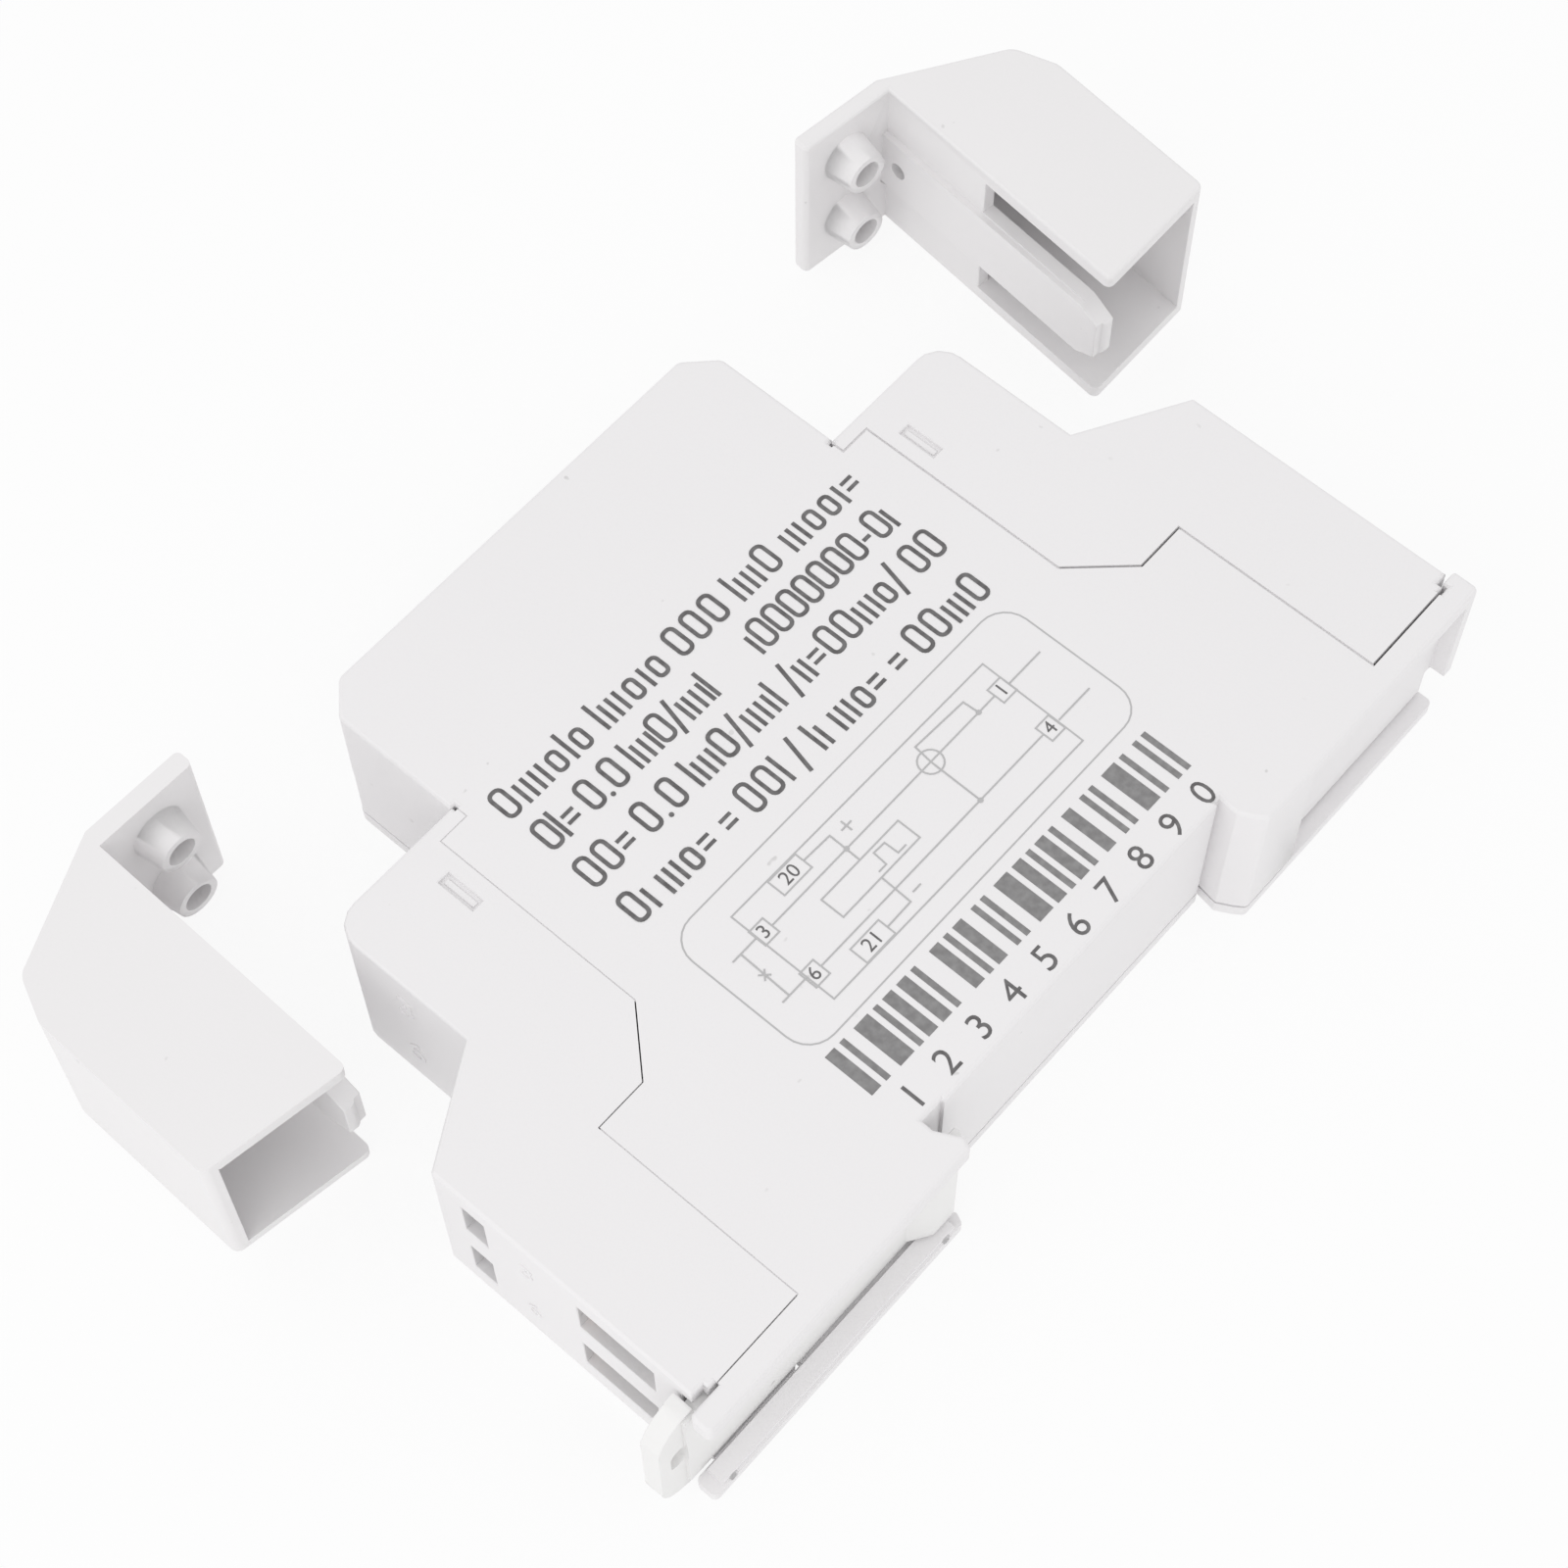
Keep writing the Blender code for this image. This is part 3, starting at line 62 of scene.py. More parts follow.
# Faces of the solids that the looks are built on; the floor's level is in metres
LABEL_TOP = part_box("case_shell")[1].z / MM
FLOOR_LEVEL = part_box("case_back_plate")[0].z
NOSE_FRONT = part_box("case_shell")[1].y / MM
GLASS_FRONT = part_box("display_glass")[1].y / MM
BLOCK_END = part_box("terminal_block_upper")[1].x / MM
SHOULDER_SIDE = 35.7
SCREW_HEAD_RADIUS = 2.5
TERMINAL_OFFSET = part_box("terminal_screw_1")[1].z / MM - SCREW_HEAD_RADIUS

MAIN_NUMBERS = ("1", "3", "4", "6")
PULSE_NUMBERS = ("20", "21")

# What lies flat on a face stands this much above it, so that no two surfaces share a plane
FACE_LIFT = 0.003

# How copies of the solids are rounded. Corners nearer than MERGE_DISTANCE, in metres, become one, and so do
# faces that turn by less than FLAT_TURN. An edge with a neighbour shorter than NEIGHBOUR_RADII stays sharp.
MERGE_DISTANCE = 0.00006
NEIGHBOUR_RADII = 3
FLAT_TURN = math.radians(0.4)
SMOOTH_DEGREES = 34.0
SCREW_SMOOTH_DEGREES = 30.0

# The radius and the shortest rounded edge of screws and clamps, in metres, and the least turn of such an edge
SCREW_EDGES = (0.00008, 0.0003, math.radians(50))
CLAMP_EDGES = (0.0001, 0.0009, math.radians(50))

# The seam between the case and a terminal block on the label side, the rims beside it, and the latch slot's
# floor, all for the upper end. The slit between the rims is LOWER_SHARE as wide and as deep at the lower end.
# It stops SEAM_MARGIN short of the block's end, and has a floor where it is shallow.
SEAM_GAP = 0.3
SEAM_MARGIN = 2.0
SEAM_INSET = 10.8
LOWER_SHARE = 0.5
SLIT_FLOOR_THICKNESS = 1.0
SLIT_FLOOR_OVERLAP = 0.02
RIM = 0.42
WAIST = BLOCK_END - SEAM_INSET
NECK = SHOULDER_SIDE - SEAM_INSET
SLOPE_FOOT = 17.6
SLOPE_HEAD = 22.6
SLOPE_RUN = 4.6
SHELF = 42.7
SHELF_INNER = 22.0
SHELF_RISE = 1.1
LATCH_LOW = (NECK + 1.55, 36.85, LABEL_TOP - 1.2)
LATCH_HIGH = (NECK + 2.85, 40.65, LABEL_TOP - 0.42)

# Each mark of a sheet lies at a level of its own, in metres, and the levels start again after MARK_STEPS.
# Corners of marks nearer than MARK_MERGE become one.
MARK_STEP = 0.0000002
MARK_STEPS = 151
MARK_MERGE = 0.0000001

# How high a figure of the built-in font stands, as a share of the font's size
FIGURE_SHARE = 0.7

# The display's figures: their lift above the glass, and their thickness in metres
CRYSTAL_LIFT = 0.02
CRYSTAL_THICKNESS = 0.00004

# The raised terminal numbers: how far inside the wall they start, and their thickness in metres
NUMBER_SUNK = 0.02
NUMBER_THICKNESS = 0.00012

# Two places along x that materials use, in metres: where the stripe on the capacitor's sleeve ends, and how
# far from the middle the display's ground begins and ends to darken
STRIPE_EDGE = 0.0067
DISPLAY_FADE = (0.009, 0.0155)

# Directions of a flat sheet's right, up and outward sides on each face that carries print or raised numbers
LABEL_SIDE = ((1, 0, 0), (0, 1, 0), (0, 0, 1))
FRONT_SIDE = ((-1, 0, 0), (0, 0, 1), (0, 1, 0))
UPPER_END = ((0, 1, 0), (0, 0, 1), (1, 0, 0))
LOWER_END = ((0, -1, 0), (0, 0, 1), (-1, 0, 0))

# The camera's right, upward and backward directions, and its place in metres
CAMERA_AXES = ((0.6597049, -0.7514984, -0.0062889), (0.6671532, 0.5817689, 0.4652435),
               (-0.3459711, -0.3111192, 0.8851604))
CAMERA_PLACE = (-0.093989, -0.054603, 0.238902)

# The broad light's place, the point that it faces and its two sides, in metres
LIGHT_PLACE = (-0.44, -0.04, 0.42)
LIGHT_AIM = (0.0, 0.025, 0.0)
LIGHT_SIDES = (0.55, 0.45)

# The floor lies this far under the meter, in metres, and is this bright where its shadow is faded
FLOOR_GAP = 0.00002
FLOOR_WHITE = 0.985


def length_setting(name, description, default, least=0.0, precision=5, **more):
    """A setting in metres."""
    return FloatProperty(name=name, description=description, default=default, min=least, precision=precision,
                         unit="LENGTH", **more)


def colour_setting(name, description, default):
    """A setting for a colour with its alpha."""
    return FloatVectorProperty(name=name, description=description, default=default, size=4, subtype="COLOR")


class MouldingSettings(bpy.types.PropertyGroup):
    """Sizes and colours of the moulded plastic."""
    edge_round: length_setting("Edge round", "Radius on the moulded pieces' outer edges",
                               0.0001, 0.00002, max=0.0005)
    thin_round: length_setting("Thin round", "Radius on the edges of the thin back plate",
                               0.00004, 0.00001, max=0.0005)
    shortest_edge: length_setting("Shortest edge", "Edges shorter than this stay sharp", 0.0009)
    least_turn: FloatProperty(name="Least turn", description="Edges that turn by less than this stay sharp",
                              default=math.radians(34), subtype="ANGLE")
    seam_width: length_setting("Seam width", "Width of the slit at the upper end",
                               0.00022, 0.00002, max=0.0003)
    seam_depth: length_setting("Seam depth", "Depth of the slit where it is shallow", 0.00022, 0.00002)
    housing_colour: colour_setting("Housing", "Colour of the case and the terminal blocks",
                                   (0.835, 0.822, 0.83, 1.0))
    cover_colour: colour_setting("Covers", "Colour of the two terminal covers", (0.83, 0.817, 0.822, 1.0))
    clip_colour: colour_setting("Rail clip", "Colour of the sliding rail clip", (0.85, 0.845, 0.84, 1.0))
    fleck_colour: colour_setting("Flecks", "Colour of the faint specks in the plastic",
                                 (0.33, 0.32, 0.31, 1.0))


class PrintSettings(bpy.types.PropertyGroup):
    """Inks and sizes of the print on the label side and the front."""
    ink_colour: colour_setting("Ink", "Colour of the rows of marks and of the figures",
                               (0.095, 0.09, 0.092, 1.0))
    line_colour: colour_setting("Line ink", "Colour of the thin lines on the label side and the front",
                                (0.47, 0.465, 0.47, 1.0))
    bar_colour: colour_setting("Bar ink", "Colour of the upright bars", (0.2, 0.195, 0.197, 1.0))
    ink_thickness: length_setting("Ink thickness", "Height of the ink film on the plastic",
                                  0.000012, 0.000002, precision=6)
    row_height: length_setting("Row height", "Height of the tall marks in a row", 0.003, 0.001)
    row_stroke: length_setting("Row stroke", "Stroke of the marks in a row", 0.00036, 0.0001)
    line_stroke: length_setting("Line stroke", "Width of the thin lines of the diagram", 0.00014, 0.00005)


class DisplaySettings(bpy.types.PropertyGroup):
    """The liquid crystal display and the pulse lamp."""
    reading: StringProperty(name="Reading", description="Digits shown on the display", default="001847")
    digit_height: length_setting("Digit height", "Height of one shown digit", 0.0058, 0.001)
    glass_colour: colour_setting("Display ground", "Colour of the display behind its digits",
                                 (0.42, 0.48, 0.38, 1.0))
    digit_colour: colour_setting("Display digits", "Colour of the shown digits", (0.02, 0.024, 0.022, 1.0))
    lamp_colour: colour_setting("Pulse lamp", "Colour of the lamp beside the window",
                                (0.62, 0.02, 0.015, 1.0))


class MetalSettings(bpy.types.PropertyGroup):
    """Finishes of the terminals and the busbars."""
    steel_colour: colour_setting("Plated steel", "Colour of the screws and clamps", (0.62, 0.61, 0.6, 1.0))
    copper_colour: colour_setting("Copper", "Colour of the busbars and the pulse tails",
                                  (0.8, 0.52, 0.36, 1.0))


class StageSettings(bpy.types.PropertyGroup):
    """Camera, floor and light."""
    lens: FloatProperty(name="Lens", description="Focal length of the camera in millimetres",
                        default=77.3, min=10.0)
    sky: FloatProperty(name="Even light", description="Strength of the even light from all round",
                       default=0.91, min=0.0)
    key: FloatProperty(name="Broad light", description="Power of the soft light from the lower end, in watts",
                       default=0.65, min=0.0)
    floor_size: length_setting("Floor size", "Side of the square floor", 3.0, 0.5, precision=2)
    floor_lift: FloatProperty(name="Floor lift", description="Share of its shadow that fades for the camera",
                              default=0.88, min=0.0, max=1.0, subtype="FACTOR")
    floor_glow: FloatProperty(name="Floor glow", description="Share of its shadow that fades for the objects",
                              default=0.6, min=0.0, max=1.0, subtype="FACTOR")


# Small helpers for nodes

def feed(tree, node, inputs):
    """Links each named input of a node to another node's socket, or sets it to a value."""
    for key, value in inputs.items():
        if isinstance(value, bpy.types.NodeSocket):
            tree.links.new(value, node.inputs[key])
        else:
            node.inputs[key].default_value = value


def put(tree, kind, inputs=None, **settings):
    """Adds a node, sets its properties, and links or sets its inputs."""
    made = tree.nodes.new(kind)
    for key, value in settings.items():
        setattr(made, key, value)
    feed(tree, made, inputs or {})
    return made


def blend_colours(tree, factor, first, second):
    """A colour mix. Its colour sockets are the node's inputs 6 and 7 and its output 2."""
    return put(tree, "ShaderNodeMix", {0: factor, 6: first, 7: second}, data_type="RGBA").outputs[2]


def remap(tree, value, low, high, to_low=0.0, to_high=1.0):
    """Values from low to high become values from to_low to to_high, kept between them."""
    return put(tree, "ShaderNodeMapRange", {"Value": value, "From Min": low, "From Max": high,
                                            "To Min": to_low, "To Max": to_high}).outputs["Result"]


def calculate(tree, operation, first, second=0.0):
    return put(tree, "ShaderNodeMath", {0: first, 1: second}, operation=operation).outputs[0]


def object_coords(tree):
    return put(tree, "ShaderNodeTexCoord").outputs["Object"]


def object_x(tree):
    return put(tree, "ShaderNodeSeparateXYZ", {"Vector": object_coords(tree)}).outputs["X"]


def object_noise(tree, scale, detail=2.0, stretch=(1.0, 1.0, 1.0), shift=(0.0, 0.0, 0.0)):
    """Noise over the object's own coordinates; the scale is in features per metre."""
    coords = object_coords(tree)
    mapped = put(tree, "ShaderNodeMapping", {"Vector": coords, "Scale": stretch, "Location": shift})
    return put(tree, "ShaderNodeTexNoise", {"Vector": mapped.outputs["Vector"], "Scale": scale,
                                            "Detail": detail}).outputs["Fac"]


def bump(tree, height, distance, normal=None):
    """A normal from a height of 0 to 1, which stands for a distance in metres."""
    inputs = {"Height": height, "Distance": distance}
    if normal:
        inputs["Normal"] = normal
    return put(tree, "ShaderNodeBump", inputs).outputs["Normal"]


def new_group(name, inputs, outputs):
    """An empty shader node group with named sockets; returns the group and its two end nodes."""
    group = bpy.data.node_groups.new(name, "ShaderNodeTree")
    for label, kind, default in inputs:
        socket = group.interface.new_socket(name=label, in_out="INPUT", socket_type="NodeSocket" + kind)
        socket.default_value = default
    for label, kind in outputs:
        group.interface.new_socket(name=label, in_out="OUTPUT", socket_type="NodeSocket" + kind)
    return group, group.nodes.new("NodeGroupInput"), group.nodes.new("NodeGroupOutput")


def finish_group(group, result, coloured, rough, normal):
    """Links the three outputs that every group of this part has."""
    feed(group, result, {"Colour": coloured, "Roughness": rough, "Normal": normal})
    return group


def moulded_group():
    """Moulded plastic: a fine texture, soft flow marks, faint flecks and light handling scuffs."""
    known = bpy.data.node_groups.get("moulded_plastic")
    if known:
        return known
    group, given, result = new_group(
        "moulded_plastic",
        [("Colour", "Color", (0.8, 0.8, 0.8, 1.0)), ("Fleck Colour", "Color", (0.3, 0.3, 0.3, 1.0)),
         ("Roughness", "Float", 0.5), ("Grain", "Float", 1.0), ("Flecks", "Float", 1.0)],
        [("Colour", "Color"), ("Roughness", "Float"), ("Normal", "Vector")])
    flow = remap(group, object_noise(group, 55.0, 3.0, stretch=(1.0, 0.45, 1.0)), 0.3, 0.7)
    shade = remap(group, flow, 0.0, 1.0, 0.0, 0.035)
    toned = blend_colours(group, shade, given.outputs["Colour"], (0.62, 0.61, 0.6, 1.0))
    fleck = remap(group, object_noise(group, 820.0, 1.0, shift=(0.4, 0.1, 0.7)), 0.765, 0.80)
    patch = remap(group, object_noise(group, 130.0, shift=(2.0, 5.0, 1.0)), 0.52, 0.6)
    fleck = calculate(group, "MULTIPLY", calculate(group, "MULTIPLY", fleck, patch), given.outputs["Flecks"])
    coloured = blend_colours(group, fleck, toned, given.outputs["Fleck Colour"])
    scuff = remap(group, object_noise(group, 260.0, 4.0, stretch=(0.25, 1.6, 1.0)), 0.62, 0.72)
    rough = calculate(group, "ADD", given.outputs["Roughness"],
                      calculate(group, "MULTIPLY", calculate(group, "SUBTRACT", flow, scuff), 0.06))
    texture = calculate(group, "MULTIPLY", object_noise(group, 3600.0), given.outputs["Grain"])
    normal = bump(group, flow, 0.00003, normal=bump(group, texture, 0.000012))
    return finish_group(group, result, coloured, rough, normal)


def metal_group():
    """Plated or rolled metal: drawn lines along one direction and dull stains."""
    known = bpy.data.node_groups.get("worked_metal")
    if known:
        return known
    group, given, result = new_group(
        "worked_metal",
        [("Colour", "Color", (0.7, 0.7, 0.7, 1.0)), ("Stain Colour", "Color", (0.3, 0.28, 0.25, 1.0)),
         ("Roughness", "Float", 0.3), ("Stains", "Float", 0.5)],
        [("Colour", "Color"), ("Roughness", "Float"), ("Normal", "Vector")])
    drawn = object_noise(group, 1500.0, 3.0, stretch=(0.08, 1.0, 1.0))
    stain = remap(group, object_noise(group, 420.0, 5.0, shift=(3.0, 1.0, 2.0)), 0.5, 0.72)
    stain = calculate(group, "MULTIPLY", stain, given.outputs["Stains"])
    coloured = blend_colours(group, stain, given.outputs["Colour"], given.outputs["Stain Colour"])
    streak = remap(group, drawn, 0.35, 0.65, 0.0, 0.12)
    coloured = blend_colours(group, streak, coloured, (0.2, 0.2, 0.2, 1.0))
    rough = calculate(group, "ADD", given.outputs["Roughness"], calculate(group, "MULTIPLY", stain, 0.3))
    return finish_group(group, result, coloured, rough, bump(group, drawn, 0.000006))


def new_material(name):
    """A fresh node material; returns it with its tree and its Principled shader."""
    made = bpy.data.materials.new(name)
    made.use_nodes = True
    return made, made.node_tree, made.node_tree.nodes["Principled BSDF"]


def show_mixed(tree, share, first, second):
    """Makes a mix of two shaders the material's surface."""
    mixed = put(tree, "ShaderNodeMixShader", {0: share, 1: first, 2: second})
    feed(tree, tree.nodes["Material Output"], {"Surface": mixed.outputs["Shader"]})


def group_material(name, group, inputs, more):
    """A material whose colour, roughness and normal come from a node group, with more set on its shader."""
    known = bpy.data.materials.get(name)
    if known:
        return known
    made, tree, shader = new_material(name)
    surface = put(tree, "ShaderNodeGroup", node_tree=group)
    feed(tree, surface, inputs)
    feed(tree, shader, {"Base Color": surface.outputs["Colour"], "Roughness": surface.outputs["Roughness"],
                        "Normal": surface.outputs["Normal"], **more})
    return made


def plastic(name, colour, roughness, grain=1.0, flecks=1.0):
    fleck = tuple(bpy.context.scene.meter_moulding.fleck_colour)
    return group_material(name, moulded_group(), {"Colour": tuple(colour), "Fleck Colour": fleck,
                                                  "Roughness": roughness, "Grain": grain, "Flecks": flecks},
                          {"IOR": 1.48})


def housing_plastic():
    return plastic("housing_plastic", bpy.context.scene.meter_moulding.housing_colour, 0.52, flecks=0.35)


def cover_plastic():
    return plastic("cover_plastic", bpy.context.scene.meter_moulding.cover_colour, 0.46,
                   grain=0.8, flecks=0.25)


def clip_plastic():
    return plastic("clip_plastic", bpy.context.scene.meter_moulding.clip_colour, 0.38, grain=0.4, flecks=0.4)


def metal(name, colour, roughness, stains):
    return group_material(name, metal_group(), {"Colour": tuple(colour), "Roughness": roughness,
                                                "Stains": stains}, {"Metallic": 1.0})


def ink_material(name, colour, spread):
    """Screen-printed ink: slightly uneven in tone, thin in places."""
    known = bpy.data.materials.get(name)
    if known:
        return known
    made, tree, shader = new_material(name)
    uneven = remap(tree, object_noise(tree, 1500.0, 3.0), 0.35, 0.7, 0.0, spread)
    feed(tree, shader, {
        "Base Color": blend_colours(tree, uneven, tuple(colour), (0.55, 0.55, 0.55, 1.0)),
        "Roughness": remap(tree, uneven, 0.0, 1.0, 0.42, 0.7),
        "Normal": bump(tree, object_noise(tree, 2600.0), 0.000004),
    })
    return made


def board_material():
    """Green solder mask over copper tracks."""
    made, tree, shader = new_material("board_laminate")
    tracks = put(tree, "ShaderNodeTexBrick", {
        "Vector": object_coords(tree), "Scale": 420.0, "Mortar Size": 0.05, "Bias": 0.2,
        "Color1": (0.02, 0.19, 0.08, 1), "Color2": (0.025, 0.22, 0.09, 1), "Mortar": (0.06, 0.34, 0.14, 1),
    })
    cloud = remap(tree, object_noise(tree, 300.0, 3.0), 0.3, 0.7, 0.0, 0.2)
    feed(tree, shader, {
        "Base Color": blend_colours(tree, cloud, tracks.outputs["Color"], (0.01, 0.1, 0.04, 1.0)),
        "Normal": bump(tree, tracks.outputs["Fac"], 0.00003),
        "Roughness": 0.4,
    })
    return made


def sleeve_material():
    """The dark sleeve of the smoothing capacitor, with a pale stripe on its side of lower x."""
    made, tree, shader = new_material("capacitor_sleeve")
    stripe = calculate(tree, "LESS_THAN", object_x(tree), STRIPE_EDGE)
    cloud = remap(tree, object_noise(tree, 900.0, 3.0), 0.3, 0.7)
    sleeve = blend_colours(tree, cloud, (0.03, 0.035, 0.055, 1), (0.05, 0.055, 0.075, 1))
    feed(tree, shader, {
        "Base Color": blend_colours(tree, stripe, sleeve, (0.6, 0.6, 0.58, 1)),
        "Normal": bump(tree, object_noise(tree, 500.0), 0.00002),
        "Roughness": 0.33,
    })
    return made


def window_material():
    """Clear moulded window; shadow rays pass it so that the display stays lit."""
    made, tree, shader = new_material("window_clear")
    smear = object_noise(tree, 90.0, 4.0, stretch=(0.4, 1.0, 1.0))
    feed(tree, shader, {
        "Roughness": remap(tree, smear, 0.35, 0.7, 0.02, 0.1),
        "Base Color": blend_colours(tree, smear, (0.96, 0.98, 0.98, 1), (0.93, 0.96, 0.97, 1)),
        "Normal": bump(tree, smear, 0.00001),
        "Transmission Weight": 1.0,
        "IOR": 1.49,
    })
    path = put(tree, "ShaderNodeLightPath")
    through = put(tree, "ShaderNodeBsdfTransparent", {"Color": (0.92, 0.94, 0.94, 1)})
    show_mixed(tree, path.outputs["Is Shadow Ray"], shader.outputs["BSDF"], through.outputs["BSDF"])
    return made


def display_material(colour):
    """The display's grey-green ground, a little darker towards its edges."""
    made, tree, shader = new_material("display_ground")
    edge = remap(tree, calculate(tree, "ABSOLUTE", object_x(tree)), *DISPLAY_FADE, 0.0, 0.35)
    tone = blend_colours(tree, edge, tuple(colour), (0.2, 0.24, 0.19, 1.0))
    cloud = remap(tree, object_noise(tree, 2400.0), 0.3, 0.7, 0.0, 0.08)
    feed(tree, shader, {
        "Base Color": blend_colours(tree, cloud, tone, (0.3, 0.34, 0.28, 1.0)),
        "Roughness": remap(tree, object_noise(tree, 200.0), 0.3, 0.7, 0.12, 0.2),
        "Coat Weight": 0.4,
    })
    return made


def lamp_material(colour):
    """Red tinted lens of the pulse lamp."""
    made, tree, shader = new_material("lamp_lens")
    depth = remap(tree, object_noise(tree, 1200.0), 0.3, 0.7)
    feed(tree, shader, {
        "Base Color": blend_colours(tree, depth, tuple(colour), (0.4, 0.01, 0.01, 1.0)),
        "Roughness": remap(tree, depth, 0.0, 1.0, 0.08, 0.16),
        "Coat Weight": 0.6,
        "IOR": 1.5,
    })
    return made


# Small helpers for shapes

def looks_collection():
    known = bpy.data.collections.get("meter_looks")
    if known:
        return known
    made = bpy.data.collections.new("meter_looks")
    bpy.context.scene.collection.children.link(made)
    return made


def add_object(name, data, collection):
    """A new object for some data, in a collection."""
    made = bpy.data.objects.new(name, data)
    collection.objects.link(made)
    return made


def into_mesh(name, solid):
    """A new mesh with a bmesh's shape, which is freed."""
    mesh = bpy.data.meshes.new(name)
    solid.to_mesh(mesh)
    solid.free()
    return mesh


def dress(finish, *nodes):
    """Gives solids that stay as they are their finish."""
    for node in nodes:
        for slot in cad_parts[node].material_slots:
            slot.material = finish


def finish_piece(name, solid, finish, body, stands_for=(), smooth_degrees=SMOOTH_DEGREES):
    """Turns a bmesh into a piece at the origin, shades it, and lets it ride on its body."""
    mesh = into_mesh(name, solid)
    mesh.shade_smooth()
    mesh.set_sharp_from_angle(angle=math.radians(smooth_degrees))
    mesh.materials.append(finish)
    piece = add_object(name, mesh, looks_collection())
    even = piece.modifiers.new("flat_faces_stay_flat", "WEIGHTED_NORMAL")
    even.keep_sharp = True
    if stands_for:
        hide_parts(*stands_for)
    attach(piece, body)


def roundable(edge, radius, shortest, turn):
    """Whether an edge is sharp and long, with no short edge at its ends in which its rounding would fold."""
    if len(edge.link_faces) != 2 or edge.calc_length() <= shortest or edge.calc_face_angle_signed() <= turn:
        return False
    beside = [other for vert in edge.verts for other in vert.link_edges if other is not edge]
    return all(other.calc_length() > NEIGHBOUR_RADII * radius for other in beside)


def rounded_copy(node, finish, body, edge_limits, smooth_degrees=SMOOTH_DEGREES):
    """A merged copy of a solid with its sharp edges rounded, which stands for that solid.

    The edge limits are the radius, the shortest edge and the least turn of an edge that is rounded.
    """
    solid = bmesh.new()
    solid.from_mesh(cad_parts[node].data)
    bmesh.ops.remove_doubles(solid, verts=solid.verts, dist=MERGE_DISTANCE)
    edges = [edge for edge in solid.edges if roundable(edge, *edge_limits)]
    bmesh.ops.bevel(solid, geom=edges, offset=edge_limits[0], offset_type="OFFSET", segments=2, profile=0.5,
                    affect="EDGES", clamp_overlap=False, material=-1)
    bmesh.ops.dissolve_limit(solid, angle_limit=FLAT_TURN, verts=solid.verts, edges=solid.edges)
    finish_piece(node + "_finished", solid, finish, body, (node,), smooth_degrees)


def moulded_copy(node, finish, body, radius):
    """A rounded copy of a moulded piece."""
    sizes = bpy.context.scene.meter_moulding
    rounded_copy(node, finish, body, (radius, sizes.shortest_edge, sizes.least_turn))


def turned_to(axes):
    """The rotation that turns x, y and z to three given directions."""
    return Matrix(axes).transposed().to_4x4()


def sheet_place(side, origin):
    """The matrix that puts a sheet's x, y and outward z on a face, with its middle at an origin."""
    return Matrix.Translation(Vector(origin) * MM) @ turned_to(side)


def mark_level(sheet):
    """A level of its own for the next mark, so that marks that cross never share one plane."""
    return len(sheet.faces) % MARK_STEPS * MARK_STEP


def mark_box(sheet, x, y, width, height, turn=0.0):
    """A flat rectangle with its middle on (x, y); returns its corners."""
    place = (Matrix.Translation((x * MM, y * MM, mark_level(sheet))) @ Matrix.Rotation(turn, 4, "Z")
             @ Matrix.Diagonal((width * MM, height * MM, 1, 1)))
    return bmesh.ops.create_grid(sheet, x_segments=1, y_segments=1, size=0.5, matrix=place)["verts"]


def mark_path(sheet, points, stroke):
    """A straight mark from each point to the next, with square ends that meet at the corners."""
    points = [Vector(point) for point in points]
    for start, end in zip(points, points[1:]):
        along = end - start
        middle = (start + end) / 2
        mark_box(sheet, middle.x, middle.y, along.length + stroke, stroke, math.atan2(along.y, along.x))


def hollow(sheet, face, stroke):
    """Leaves only a rim of one stroke from a face."""
    bmesh.ops.inset_individual(sheet, faces=[face], thickness=stroke * MM, use_even_offset=True)
    bmesh.ops.delete(sheet, geom=[face], context="FACES")


def cut_corners(sheet, verts, reach, steps):
    """Rounds the corners of a flat mark, or cuts them off where there is one step."""
    return bmesh.ops.bevel(sheet, geom=list(verts), offset=reach * MM, segments=steps, profile=0.5,
                           affect="VERTICES", clamp_overlap=True, material=-1)["verts"]


def mark_frame(sheet, x, y, width, height, stroke, corner=0.0, steps=4):
    """A rectangular frame, with rounded corners where a radius is given."""
    verts = mark_box(sheet, x, y, width, height)
    if corner:
        verts = cut_corners(sheet, verts[0].link_faces[0].verts, corner, steps)
    hollow(sheet, verts[0].link_faces[0], stroke)


def mark_disc(sheet, x, y, radius, sides, stroke=None):
    """A round dot, or a ring where a stroke is given."""
    place = Matrix.Translation((x * MM, y * MM, mark_level(sheet)))
    made = bmesh.ops.create_circle(sheet, cap_ends=True, segments=sides, radius=radius * MM, matrix=place)
    if stroke:
        hollow(sheet, made["verts"][0].link_faces[0], stroke)


def mark_text(sheet, words, x, y, height):
    """Plain figures of a height, centred on a point."""
    curve = bpy.data.curves.new("figures", "FONT")
    curve.body = words
    curve.size = height / FIGURE_SHARE
    curve.align_x = "CENTER"
    curve.align_y = "CENTER"
    curve.resolution_u = 4
    holder = add_object("figures", curve, looks_collection())
    bpy.context.view_layer.update()
    mesh = bpy.data.meshes.new_from_object(holder.evaluated_get(bpy.context.evaluated_depsgraph_get()))
    mesh.transform(Matrix.Translation((x * MM, y * MM, 0)) @ Matrix.Scale(MM, 4))
    sheet.from_mesh(mesh)
    bpy.data.objects.remove(holder, do_unlink=True)
    bpy.data.meshes.remove(mesh)


